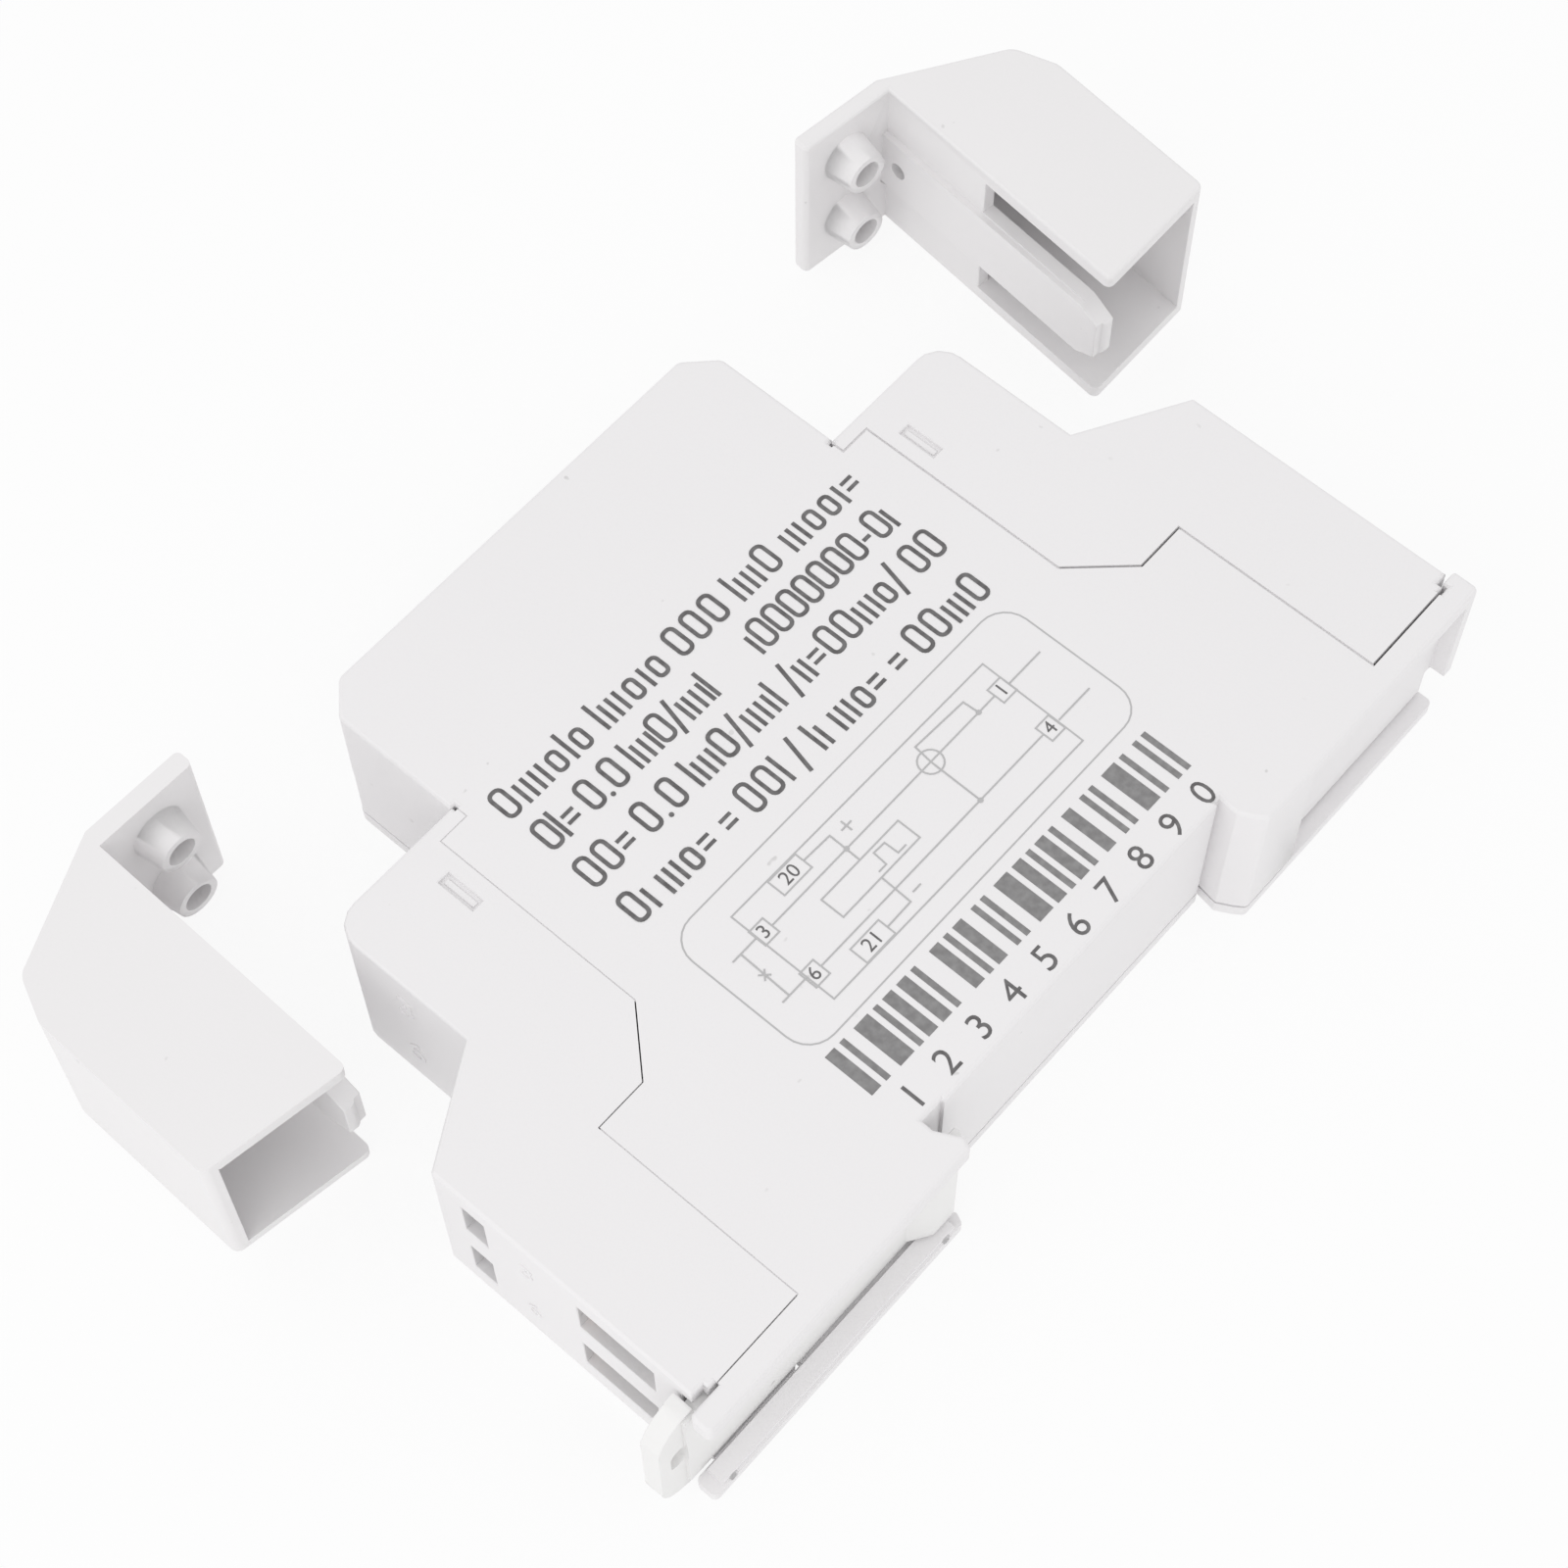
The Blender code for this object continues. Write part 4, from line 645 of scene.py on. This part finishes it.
def finish_sheet(name, sheet, finish, thickness, place):
    """Gives flat marks a closed thickness in metres, puts them on their face and makes them a piece."""
    bmesh.ops.remove_doubles(sheet, verts=sheet.verts, dist=MARK_MERGE)
    bmesh.ops.recalc_face_normals(sheet, faces=sheet.faces)
    downward = [face for face in sheet.faces if face.normal.z < 0]
    bmesh.ops.reverse_faces(sheet, faces=downward)
    raised = bmesh.ops.extrude_face_region(sheet, geom=sheet.faces[:], use_keep_orig=True)
    verts = [item for item in raised["geom"] if isinstance(item, bmesh.types.BMVert)]
    bmesh.ops.translate(sheet, verts=verts, vec=(0, 0, thickness))
    bmesh.ops.recalc_face_normals(sheet, faces=sheet.faces)
    sheet.transform(place)
    finish_piece(name, sheet, finish, "meter")


def box_place(low, high, side):
    """The matrix that makes a unit cube a box between two corners, mirrored in x = 0 for side -1."""
    low, high = Vector(low), Vector(high)
    middle = (low + high) / 2 * MM
    middle.x *= side
    return Matrix.Translation(middle) @ Matrix.Diagonal((*(high - low) * MM, 1))


def seam_band(solid, path, near, far, low, high, side):
    """A flat band beside an open path, from near to far to its right; side -1 mirrors it in x = 0.

    Each straight run starts too long and is cut on the mitre at both ends.
    """
    points = [Vector(point) for point in path]
    ways = [(end - start).normalized() for start, end in zip(points, points[1:])]
    for index, way in enumerate(ways):
        start, end = points[index], points[index + 1]
        middle = (start + end) / 2 + Vector((way.y, -way.x)) * (near + far) / 2
        length = (end - start).length + 4 * (far - near)
        place = (Matrix.Translation(Vector((middle.x, middle.y, (low + high) / 2)) * MM)
                 @ Matrix.Rotation(math.atan2(way.y, way.x), 4, "Z")
                 @ Matrix.Diagonal((length * MM, (far - near) * MM, (high - low) * MM, 1)))
        band = bmesh.new()
        bmesh.ops.create_cube(band, size=1.0, matrix=place)
        before = ways[index - 1] if index else way
        after = ways[index + 1] if index + 1 < len(ways) else way
        for corner, mitre in ((start, -(before + way)), (end, way + after)):
            cut = bmesh.ops.bisect_plane(band, geom=band.verts[:] + band.edges[:] + band.faces[:],
                                         plane_co=(corner * MM).to_3d(), plane_no=mitre.to_3d(),
                                         clear_outer=True)
            rim = [item for item in cut["geom_cut"] if isinstance(item, bmesh.types.BMEdge)]
            bmesh.ops.edgeloop_fill(band, edges=rim)
        if side < 0:
            bmesh.ops.scale(band, vec=(-1, 1, 1), verts=band.verts)
        bmesh.ops.recalc_face_normals(band, faces=band.faces)
        mesh = into_mesh("band", band)
        solid.from_mesh(mesh)
        bpy.data.meshes.remove(mesh)


# Pieces of the print

# Each row of marks: its first and last height, its first and last place across, the wider gap before its last
# word, and its words
ROWS = (
    (39.9, 39.15, -20.2, 20.8, 0.0, ("Oimolo", "lmoio", "OOO", "lmO", "mooi=")),
    (35.6, 34.75, -20.0, 19.9, 4.2, ("Ol=", "O.O", "lmO/iml", "iOOOOOOO-Oi")),
    (31.0, 30.35, -20.2, 20.8, 0.0, ("OO=", "O.O", "lmO/iml", "/ii=OOmo/", "OO")),
    (26.45, 25.1, -20.2, 20.0, 0.0, ("Oi", "mo=", "=", "OOl", "/", "li", "mo=", "=", "OOmO")),
)
MARK_WIDTHS = {"O": 1.55, "o": 1.35, "m": 2.0, "i": 0.36, "l": 0.36, "=": 1.25, "-": 0.8, ".": 0.5, "/": 0.9}
MARK_GAP = 0.42
WORD_GAP = 1.15
LOW_SHARE = 0.72
CORNER_SHARE = 0.42


def draw_mark(sheet, kind, x, y, height, stroke):
    """One simple shape of a row, standing on (x, y): a frame, a bar, a pair of dashes or a dot."""
    width = MARK_WIDTHS[kind]
    middle = x + width / 2
    tall = height if kind in "Ol" else height * LOW_SHARE
    if kind in "Oo":
        mark_frame(sheet, middle, y + tall / 2, width, tall, stroke, corner=width * CORNER_SHARE)
    elif kind in "il":
        mark_box(sheet, middle, y + tall / 2, stroke, tall)
    elif kind == "m":
        for share in (0.0, 0.5, 1.0):
            mark_box(sheet, x + stroke / 2 + share * (width - stroke), y + tall / 2, stroke, tall)
    elif kind == "=":
        for share in (0.3, 0.56):
            mark_box(sheet, middle, y + height * share, width, stroke * 0.9)
    elif kind == "-":
        mark_box(sheet, middle, y + height * 0.4, width, stroke)
    elif kind == ".":
        mark_disc(sheet, middle, y + stroke * 0.5, stroke * 0.62, 8)
    else:
        mark_box(sheet, middle, y + height * 0.45, stroke, height * 1.2, -0.22)


def row_of_marks(sheet, row, height, stroke):
    """One printed row, stretched to run from its first to its last place along a slightly falling line."""
    y_start, y_end, x_start, x_end, wide_gap, words = row
    pen = 0.0
    places = []
    for index, word in enumerate(words):
        for kind in word:
            places.append((kind, pen))
            pen += MARK_WIDTHS[kind] + MARK_GAP
        pen += WORD_GAP - MARK_GAP + (wide_gap if index == len(words) - 2 else 0.0)
    length = pen - WORD_GAP
    stretch = (x_end - x_start) / length
    for kind, place in places:
        y = y_start + (y_end - y_start) * (place / length)
        draw_mark(sheet, kind, x_start + place * stretch, y, height, stroke)


# The widths of the bars and of the gaps between them, by turns
BAR_STEPS = "211231112121132111221112312111211222111231121112"


def bar_pattern(sheet):
    """Upright bars of one, two or three steps, in an order of this part's own, on a slightly falling line."""
    left, right, low_left, low_right, tall = -19.25, 18.95, 4.3, 3.55, 4.62
    unit = (right - left) / sum(int(step) for step in BAR_STEPS)
    pen = left
    for index, step in enumerate(BAR_STEPS):
        width = int(step) * unit
        if index % 2 == 0:
            low = low_left + (low_right - low_left) * ((pen - left) / (right - left))
            mark_box(sheet, pen + width / 2, low + tall / 2, width, tall)
        pen += width


def number_row(sheet):
    """A plain row of counting figures under the bars, on a slightly falling line."""
    first_x, first_y, pitch, fall, tall = -17.3, 1.9, 3.77, 0.06, 2.2
    for index in range(10):
        mark_text(sheet, str((index + 1) % 10), first_x + index * pitch, first_y - index * fall, tall)


def wiring_diagram(lines, figures, stroke):
    """The wiring diagram: the meter's outline, its terminals and what lies between them, in plain symbols."""
    mark_frame(lines, -0.1, 16.85, 39.7, 14.6, stroke, corner=2.6, steps=6)
    outer = [(-15.2, 21.8), (14.25, 21.55), (14.1, 11.3), (-15.2, 11.5), (-15.2, 21.8)]
    mark_path(lines, outer, stroke)
    for words, x, y, width in (("20", -9.6, 20.8, 3.3), ("21", -9.7, 12.4, 3.4), ("3", -14.5, 19.1, 1.7),
                               ("6", -14.6, 13.95, 1.7), ("1", 13.45, 18.9, 1.7), ("4", 13.3, 13.9, 1.7)):
        mark_frame(lines, x, y, width, 1.85, stroke)
        mark_text(figures, words, x, y, 1.2)
    mark_frame(lines, -5.15, 16.5, 9.1, 2.35, stroke)
    pulse = [(-4.9, 15.85), (-4.1, 15.85), (-4.0, 17.2), (-2.8, 17.15), (-2.75, 15.8), (-1.9, 15.8)]
    mark_path(lines, pulse, stroke)
    mark_path(lines, [(-13.65, 19.0), (12.6, 19.0)], stroke)
    mark_path(lines, [(-13.7, 14.0), (12.45, 13.95)], stroke)
    mark_disc(lines, 4.9, 19.0, 1.15, 20, stroke)
    mark_path(lines, [(4.9, 19.0), (4.85, 13.95)], stroke)
    mark_path(lines, [(4.9, 19.0), (5.1, 20.75), (10.6, 20.5), (10.7, 19.0)], stroke)
    for x, y in ((10.7, 19.0), (4.85, 13.95), (-5.1, 19.0)):
        mark_disc(lines, x, y, 0.24, 8)
    mark_path(lines, [(-7.9, 20.8), (-5.1, 20.7), (-5.15, 17.7)], stroke)
    mark_path(lines, [(-5.2, 15.3), (-5.3, 12.4), (-8.0, 12.35)], stroke)
    mark_path(lines, [(-4.1, 20.3), (-3.1, 20.3)], stroke)
    mark_path(lines, [(-3.6, 19.8), (-3.6, 20.8)], stroke)
    mark_path(lines, [(-4.5, 12.8), (-3.7, 12.8)], stroke)
    for y in (19.2, 14.2):
        mark_path(lines, [(-15.4, y), (-17.9, y)], stroke)
        mark_path(lines, [(14.35, y - 0.35), (18.0, y - 0.35)], stroke)
    mark_path(lines, [(-17.05, 19.2), (-17.2, 14.2)], stroke)
    for turn in (0.785, -0.785):
        mark_box(lines, -17.15, 16.7, 1.0, stroke, turn)


# The lit segments of each digit, and each segment's place: its side, and its level in quarters of the height
LIT_SEGMENTS = {"0": "abcdef", "1": "bc", "2": "abged", "3": "abgcd", "4": "fgbc", "5": "afgcd",
                "6": "afgedc", "7": "abc", "8": "abcdefg", "9": "abcdfg"}
SEGMENTS = {"a": (0, 2), "g": (0, 0), "d": (0, -2), "b": (1, 1), "c": (1, -1), "f": (-1, 1), "e": (-1, -1)}


def segment_digit(sheet, digit, x, y, height, stroke):
    """A seven-segment digit centred on (x, y)."""
    half, quarter = height * 0.27, height / 4
    for name in LIT_SEGMENTS[digit]:
        across, level = SEGMENTS[name]
        width, tall = (half * 2 - stroke, stroke) if across == 0 else (stroke, quarter * 2 - stroke)
        verts = mark_box(sheet, x + across * half, y + level * quarter, width, tall)
        cut_corners(sheet, verts, stroke * 0.3, 1)


def display_figures(sheet, reading, height):
    """The digits and their decimal point, four marks under them, and three of growing height beside them."""
    middle_x, middle_y = -1.0, 0.4
    pitch = height * 0.72
    for index, digit in enumerate(reading):
        place = (index - (len(reading) - 1) / 2) * pitch
        segment_digit(sheet, digit, place + middle_x, middle_y, height, height * 0.11)
    point_x = pitch * (len(reading) / 2 - 1) + middle_x
    mark_disc(sheet, point_x, middle_y - height * 0.5, height * 0.06, 8)
    for index in range(4):
        mark_box(sheet, -9.0 + index * 4.4, -4.15, 1.8, 0.34)
    for index in range(3):
        mark_box(sheet, pitch * 3.1 + 0.4, -1.6 + index * 1.4, 1.1, 0.4 + 0.25 * index)


# The stage

def add_camera(look):
    camera = bpy.data.cameras.new("view")
    camera.lens = look.lens
    camera.sensor_width = 36.0
    camera.clip_start = 0.01
    camera.clip_end = 20.0
    holder = add_object("view", camera, bpy.context.scene.collection)
    holder.matrix_world = Matrix.Translation(CAMERA_PLACE) @ turned_to(CAMERA_AXES)
    bpy.context.scene.camera = holder


def add_floor(look):
    """A plain pale floor whose shadow is partly faded towards white."""
    solid = bmesh.new()
    bmesh.ops.create_grid(solid, x_segments=1, y_segments=1, size=look.floor_size / 2,
                          matrix=Matrix.Translation((0, 0, FLOOR_LEVEL - FLOOR_GAP)))
    made, tree, shader = new_material("floor_paper")
    noise = object_noise(tree, 900.0, 3.0)
    feed(tree, shader, {
        "Base Color": blend_colours(tree, noise, (0.965, 0.965, 0.965, 1), (0.95, 0.95, 0.95, 1)),
        "Roughness": 0.9,
        "Specular IOR Level": 0.0,
    })
    path = put(tree, "ShaderNodeLightPath")
    white = put(tree, "ShaderNodeEmission", {"Color": (1, 1, 1, 1), "Strength": FLOOR_WHITE})
    share = remap(tree, path.outputs["Is Camera Ray"], 0.0, 1.0, look.floor_glow, look.floor_lift)
    show_mixed(tree, share, shader.outputs["BSDF"], white.outputs["Emission"])
    mesh = into_mesh("floor", solid)
    mesh.materials.append(made)
    floor = add_object("floor", mesh, bpy.context.scene.collection)


def add_sky(look):
    """Even light from all round; the camera and reflections see plain white."""
    world = bpy.data.worlds.new("studio")
    world.use_nodes = True
    tree = world.node_tree
    path = put(tree, "ShaderNodeLightPath")
    mirrored = calculate(tree, "MAXIMUM", path.outputs["Is Glossy Ray"], path.outputs["Is Transmission Ray"])
    seen = calculate(tree, "MAXIMUM", path.outputs["Is Camera Ray"], mirrored)
    feed(tree, tree.nodes["Background"], {"Color": (1.0, 1.0, 1.0, 1.0),
                                          "Strength": remap(tree, seen, 0.0, 1.0, look.sky, 1.0)})
    bpy.context.scene.world = world


def add_light(look):
    """One broad soft light beside and above the lower end."""
    lamp = bpy.data.lights.new("broad_light", "AREA")
    lamp.shape = "RECTANGLE"
    lamp.size, lamp.size_y = LIGHT_SIDES
    lamp.energy = look.key
    holder = add_object("broad_light", lamp, bpy.context.scene.collection)
    place = Vector(LIGHT_PLACE)
    turn = (place - Vector(LIGHT_AIM)).to_track_quat("Z", "Y").to_matrix().to_4x4()
    holder.matrix_world = Matrix.Translation(place) @ turn


# Operators, one for each group of pieces

class METER_OT_mouldings(bpy.types.Operator):
    """Rounded copies of the case, its back plate, both terminal blocks and the rail clip"""
    bl_idname = "meter.mouldings"
    bl_label = "Case, blocks and clip"

    def execute(self, context):
        sizes = context.scene.meter_moulding
        for node in ("case_shell", "terminal_block_upper", "terminal_block_lower"):
            moulded_copy(node, housing_plastic(), "meter", sizes.edge_round)
        moulded_copy("case_back_plate", housing_plastic(), "meter", sizes.thin_round)
        moulded_copy("rail_clip", clip_plastic(), "clip", sizes.edge_round)
        return {"FINISHED"}


class METER_OT_seams(bpy.types.Operator):
    """Lips that narrow the seams between the case and its two terminal blocks, and floors under them"""
    bl_idname = "meter.seams"
    bl_label = "Seam lips"

    def execute(self, context):
        sizes = context.scene.meter_moulding
        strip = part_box("terminal_block_lower")[0].y / MM - SEAM_GAP
        path = [(BLOCK_END - SEAM_MARGIN, strip), (WAIST, strip), (WAIST, SLOPE_FOOT),
                (NECK + SLOPE_RUN, SLOPE_FOOT), (NECK, SLOPE_HEAD), (NECK, SHELF), (SHELF_INNER, SHELF),
                (SHELF_INNER, SHELF + SHELF_RISE)]
        top = LABEL_TOP + FACE_LIFT
        for name, side, share in (("seam_lips_upper", 1, 1.0), ("seam_lips_lower", -1, LOWER_SHARE)):
            slit = (SEAM_GAP - share * sizes.seam_width / MM) / 2
            floor = LABEL_TOP - share * sizes.seam_depth / MM
            solid = bmesh.new()
            seam_band(solid, path, -RIM, slit, LABEL_TOP - RIM, top, side)
            seam_band(solid, path, SEAM_GAP - slit, SEAM_GAP + RIM, LABEL_TOP - RIM, top, side)
            for shallow in (path[1:3], path[4:]):
                seam_band(solid, shallow, slit - SLIT_FLOOR_OVERLAP, SEAM_GAP - slit + SLIT_FLOOR_OVERLAP,
                          floor - SLIT_FLOOR_THICKNESS, floor, side)
            bmesh.ops.create_cube(solid, size=1.0, matrix=box_place(LATCH_LOW, LATCH_HIGH, side))
            finish_piece(name, solid, housing_plastic(), "meter")
        return {"FINISHED"}


class METER_OT_covers(bpy.types.Operator):
    """Rounded copies of the two terminal covers that lie beside the meter"""
    bl_idname = "meter.covers"
    bl_label = "Terminal covers"

    def execute(self, context):
        radius = context.scene.meter_moulding.edge_round
        for node in ("terminal_cover_upper", "terminal_cover_lower"):
            moulded_copy(node, cover_plastic(), "meter", radius)
        return {"FINISHED"}


class METER_OT_terminals(bpy.types.Operator):
    """Plated screws and the cage clamps that they lift"""
    bl_idname = "meter.terminals"
    bl_label = "Screws and clamps"

    def execute(self, context):
        colours = context.scene.meter_metal
        screw_steel = metal("screw_steel", colours.steel_colour, 0.26, 0.35)
        clamp_steel = metal("clamp_steel", colours.steel_colour, 0.36, 0.6)
        for numbers, screw, clamp in ((MAIN_NUMBERS, "terminal_screw_", "cage_clamp_"),
                                      (PULSE_NUMBERS, "pulse_screw_", "pulse_clamp_")):
            for number in numbers:
                rounded_copy(screw + number, screw_steel, "screw_" + number, SCREW_EDGES,
                             SCREW_SMOOTH_DEGREES)
                rounded_copy(clamp + number, clamp_steel, "clamp_" + number, CLAMP_EDGES)
        return {"FINISHED"}


class METER_OT_electrics(bpy.types.Operator):
    """Finishes of the busbars, the shunt, the circuit board and the parts on it"""
    bl_idname = "meter.electrics"
    bl_label = "Bars and board"

    def execute(self, context):
        colour = context.scene.meter_metal.copper_colour
        dress(metal("busbar_copper", colour, 0.34, 0.7), "line_bar_in", "line_bar_out", "neutral_bar",
              "pulse_tail_20", "pulse_tail_21")
        dress(metal("shunt_manganin", (0.56, 0.46, 0.36, 1.0), 0.4, 0.8), "shunt")
        dress(board_material(), "circuit_board")
        dress(plastic("film_case", (0.7, 0.56, 0.1, 1.0), 0.36, grain=0.5), "film_capacitor")
        dress(sleeve_material(), "smoothing_capacitor")
        dress(plastic("varistor_coat", (0.045, 0.17, 0.44, 1.0), 0.4, grain=1.6), "varistor")
        dress(plastic("chip_resin", (0.022, 0.022, 0.024, 1.0), 0.5, grain=1.4, flecks=0.0),
              "metering_chip", "pulse_coupler")
        return {"FINISHED"}


class METER_OT_display(bpy.types.Operator):
    """The window, the display with its figures, its holder and the pulse lamp"""
    bl_idname = "meter.display"
    bl_label = "Display and lamp"

    def execute(self, context):
        look = context.scene.meter_display
        dress(window_material(), "display_window")
        dress(display_material(look.glass_colour), "display_glass")
        dress(plastic("holder_plastic", (0.7, 0.7, 0.69, 1.0), 0.45), "display_holder")
        dress(lamp_material(look.lamp_colour), "pulse_lamp")
        sheet = bmesh.new()
        display_figures(sheet, look.reading, look.digit_height / MM)
        place = sheet_place(FRONT_SIDE, (0, GLASS_FRONT + CRYSTAL_LIFT, 0))
        crystal = ink_material("display_crystal", look.digit_colour, 0.04)
        finish_sheet("display_figures", sheet, crystal, CRYSTAL_THICKNESS, place)
        return {"FINISHED"}


class METER_OT_label(bpy.types.Operator):
    """The print on the label side: rows of marks, wiring diagram, bars and counting figures"""
    bl_idname = "meter.label"
    bl_label = "Label print"

    def execute(self, context):
        look = context.scene.meter_print
        ink = ink_material("label_ink", look.ink_colour, 0.16)
        bar_ink = ink_material("label_bar_ink", look.bar_colour, 0.2)
        line_ink = ink_material("label_line_ink", look.line_colour, 0.3)
        rows, bars, lines, figures = (bmesh.new() for _ in range(4))
        for row in ROWS:
            row_of_marks(rows, row, look.row_height / MM, look.row_stroke / MM)
        number_row(rows)
        bar_pattern(bars)
        wiring_diagram(lines, figures, look.line_stroke / MM)
        place = sheet_place(LABEL_SIDE, (0, 0, LABEL_TOP + FACE_LIFT))
        for name, sheet, finish in (("label_rows", rows, ink), ("label_bars", bars, bar_ink),
                                    ("label_diagram", lines, line_ink),
                                    ("label_diagram_figures", figures, ink)):
            finish_sheet(name, sheet, finish, look.ink_thickness, place)
        return {"FINISHED"}


class METER_OT_front(bpy.types.Operator):
    """Printed marks on the front and the raised terminal numbers on the blocks"""
    bl_idname = "meter.front"
    bl_label = "Front marks and numbers"

    def execute(self, context):
        look = context.scene.meter_print
        line_ink = ink_material("label_line_ink", look.line_colour, 0.3)
        front = bmesh.new()
        # A frame around the window, a ring around the pulse lamp and the sign of a pulse above it
        mark_frame(front, 0.0, 0.0, 36.0, 14.6, 0.2, corner=1.6)
        mark_disc(front, -19.0, 0.0, 2.0, 24, 0.16)
        pulse = [(-20.6, 3.2), (-19.8, 3.2), (-19.8, 4.6), (-18.6, 4.6), (-18.6, 3.2), (-17.8, 3.2)]
        mark_path(front, pulse, 0.16)
        place = sheet_place(FRONT_SIDE, (0, NOSE_FRONT + FACE_LIFT, 0))
        finish_sheet("front_marks", front, line_ink, look.ink_thickness, place)
        # Each pair of raised numbers: its face, that face's x, its own y and height, and the two numbers
        for name, side, x, y, height, shown in (
                ("shoulder_numbers_upper", UPPER_END, SHOULDER_SIDE, 40.2, 2.2, PULSE_NUMBERS),
                ("shoulder_numbers_lower", LOWER_END, -SHOULDER_SIDE, 36.8, 3.0, ("3", "6")),
                ("end_numbers_upper", UPPER_END, BLOCK_END, 15.4, 2.2, ("1", "4")),
                ("end_numbers_lower", LOWER_END, -BLOCK_END, 15.4, 2.2, ("3", "6"))):
            sheet = bmesh.new()
            for level, words in zip((1, -1), shown):
                mark_text(sheet, words, 0.0, level * TERMINAL_OFFSET, height)
            place = sheet_place(side, (x - math.copysign(NUMBER_SUNK, x), y, 0))
            finish_sheet(name, sheet, housing_plastic(), NUMBER_THICKNESS, place)
        return {"FINISHED"}


class METER_OT_stage(bpy.types.Operator):
    """Camera, floor and soft light"""
    bl_idname = "meter.stage"
    bl_label = "Stage"

    def execute(self, context):
        look = context.scene.meter_stage
        add_camera(look)
        add_floor(look)
        add_sky(look)
        add_light(look)
        context.scene.view_settings.view_transform = "Standard"
        return {"FINISHED"}


SETTINGS = (("meter_moulding", MouldingSettings), ("meter_print", PrintSettings),
            ("meter_display", DisplaySettings), ("meter_metal", MetalSettings),
            ("meter_stage", StageSettings))
OPERATORS = (METER_OT_mouldings, METER_OT_seams, METER_OT_covers, METER_OT_terminals, METER_OT_electrics,
             METER_OT_display, METER_OT_label, METER_OT_front, METER_OT_stage)


class METER_PT_panel(bpy.types.Panel):
    """Lists the groups of pieces and their settings"""
    bl_idname = "METER_PT_panel"
    bl_label = "Energy meter"
    bl_space_type = "VIEW_3D"
    bl_region_type = "UI"
    bl_category = "Meter"

    def draw(self, context):
        for operator in OPERATORS:
            self.layout.operator(operator.bl_idname, text=operator.bl_label)
        for name, group in SETTINGS:
            box = self.layout.box()
            box.label(text=group.__doc__)
            for key in group.__annotations__:
                box.prop(getattr(context.scene, name), key)


def register():
    for name, group in SETTINGS:
        bpy.utils.register_class(group)
        setattr(bpy.types.Scene, name, PointerProperty(type=group))
    for item in OPERATORS + (METER_PT_panel,):
        bpy.utils.register_class(item)


def unregister():
    for item in reversed(OPERATORS + (METER_PT_panel,)):
        bpy.utils.unregister_class(item)
    for name, group in SETTINGS:
        delattr(bpy.types.Scene, name)
        bpy.utils.unregister_class(group)


def main():
    register()
    bpy.ops.meter.stage()
    bpy.ops.meter.mouldings()
    bpy.ops.meter.seams()
    bpy.ops.meter.covers()
    bpy.ops.meter.terminals()
    bpy.ops.meter.electrics()
    bpy.ops.meter.display()
    bpy.ops.meter.label()
    bpy.ops.meter.front()


if __name__ == "__main__":
    main()
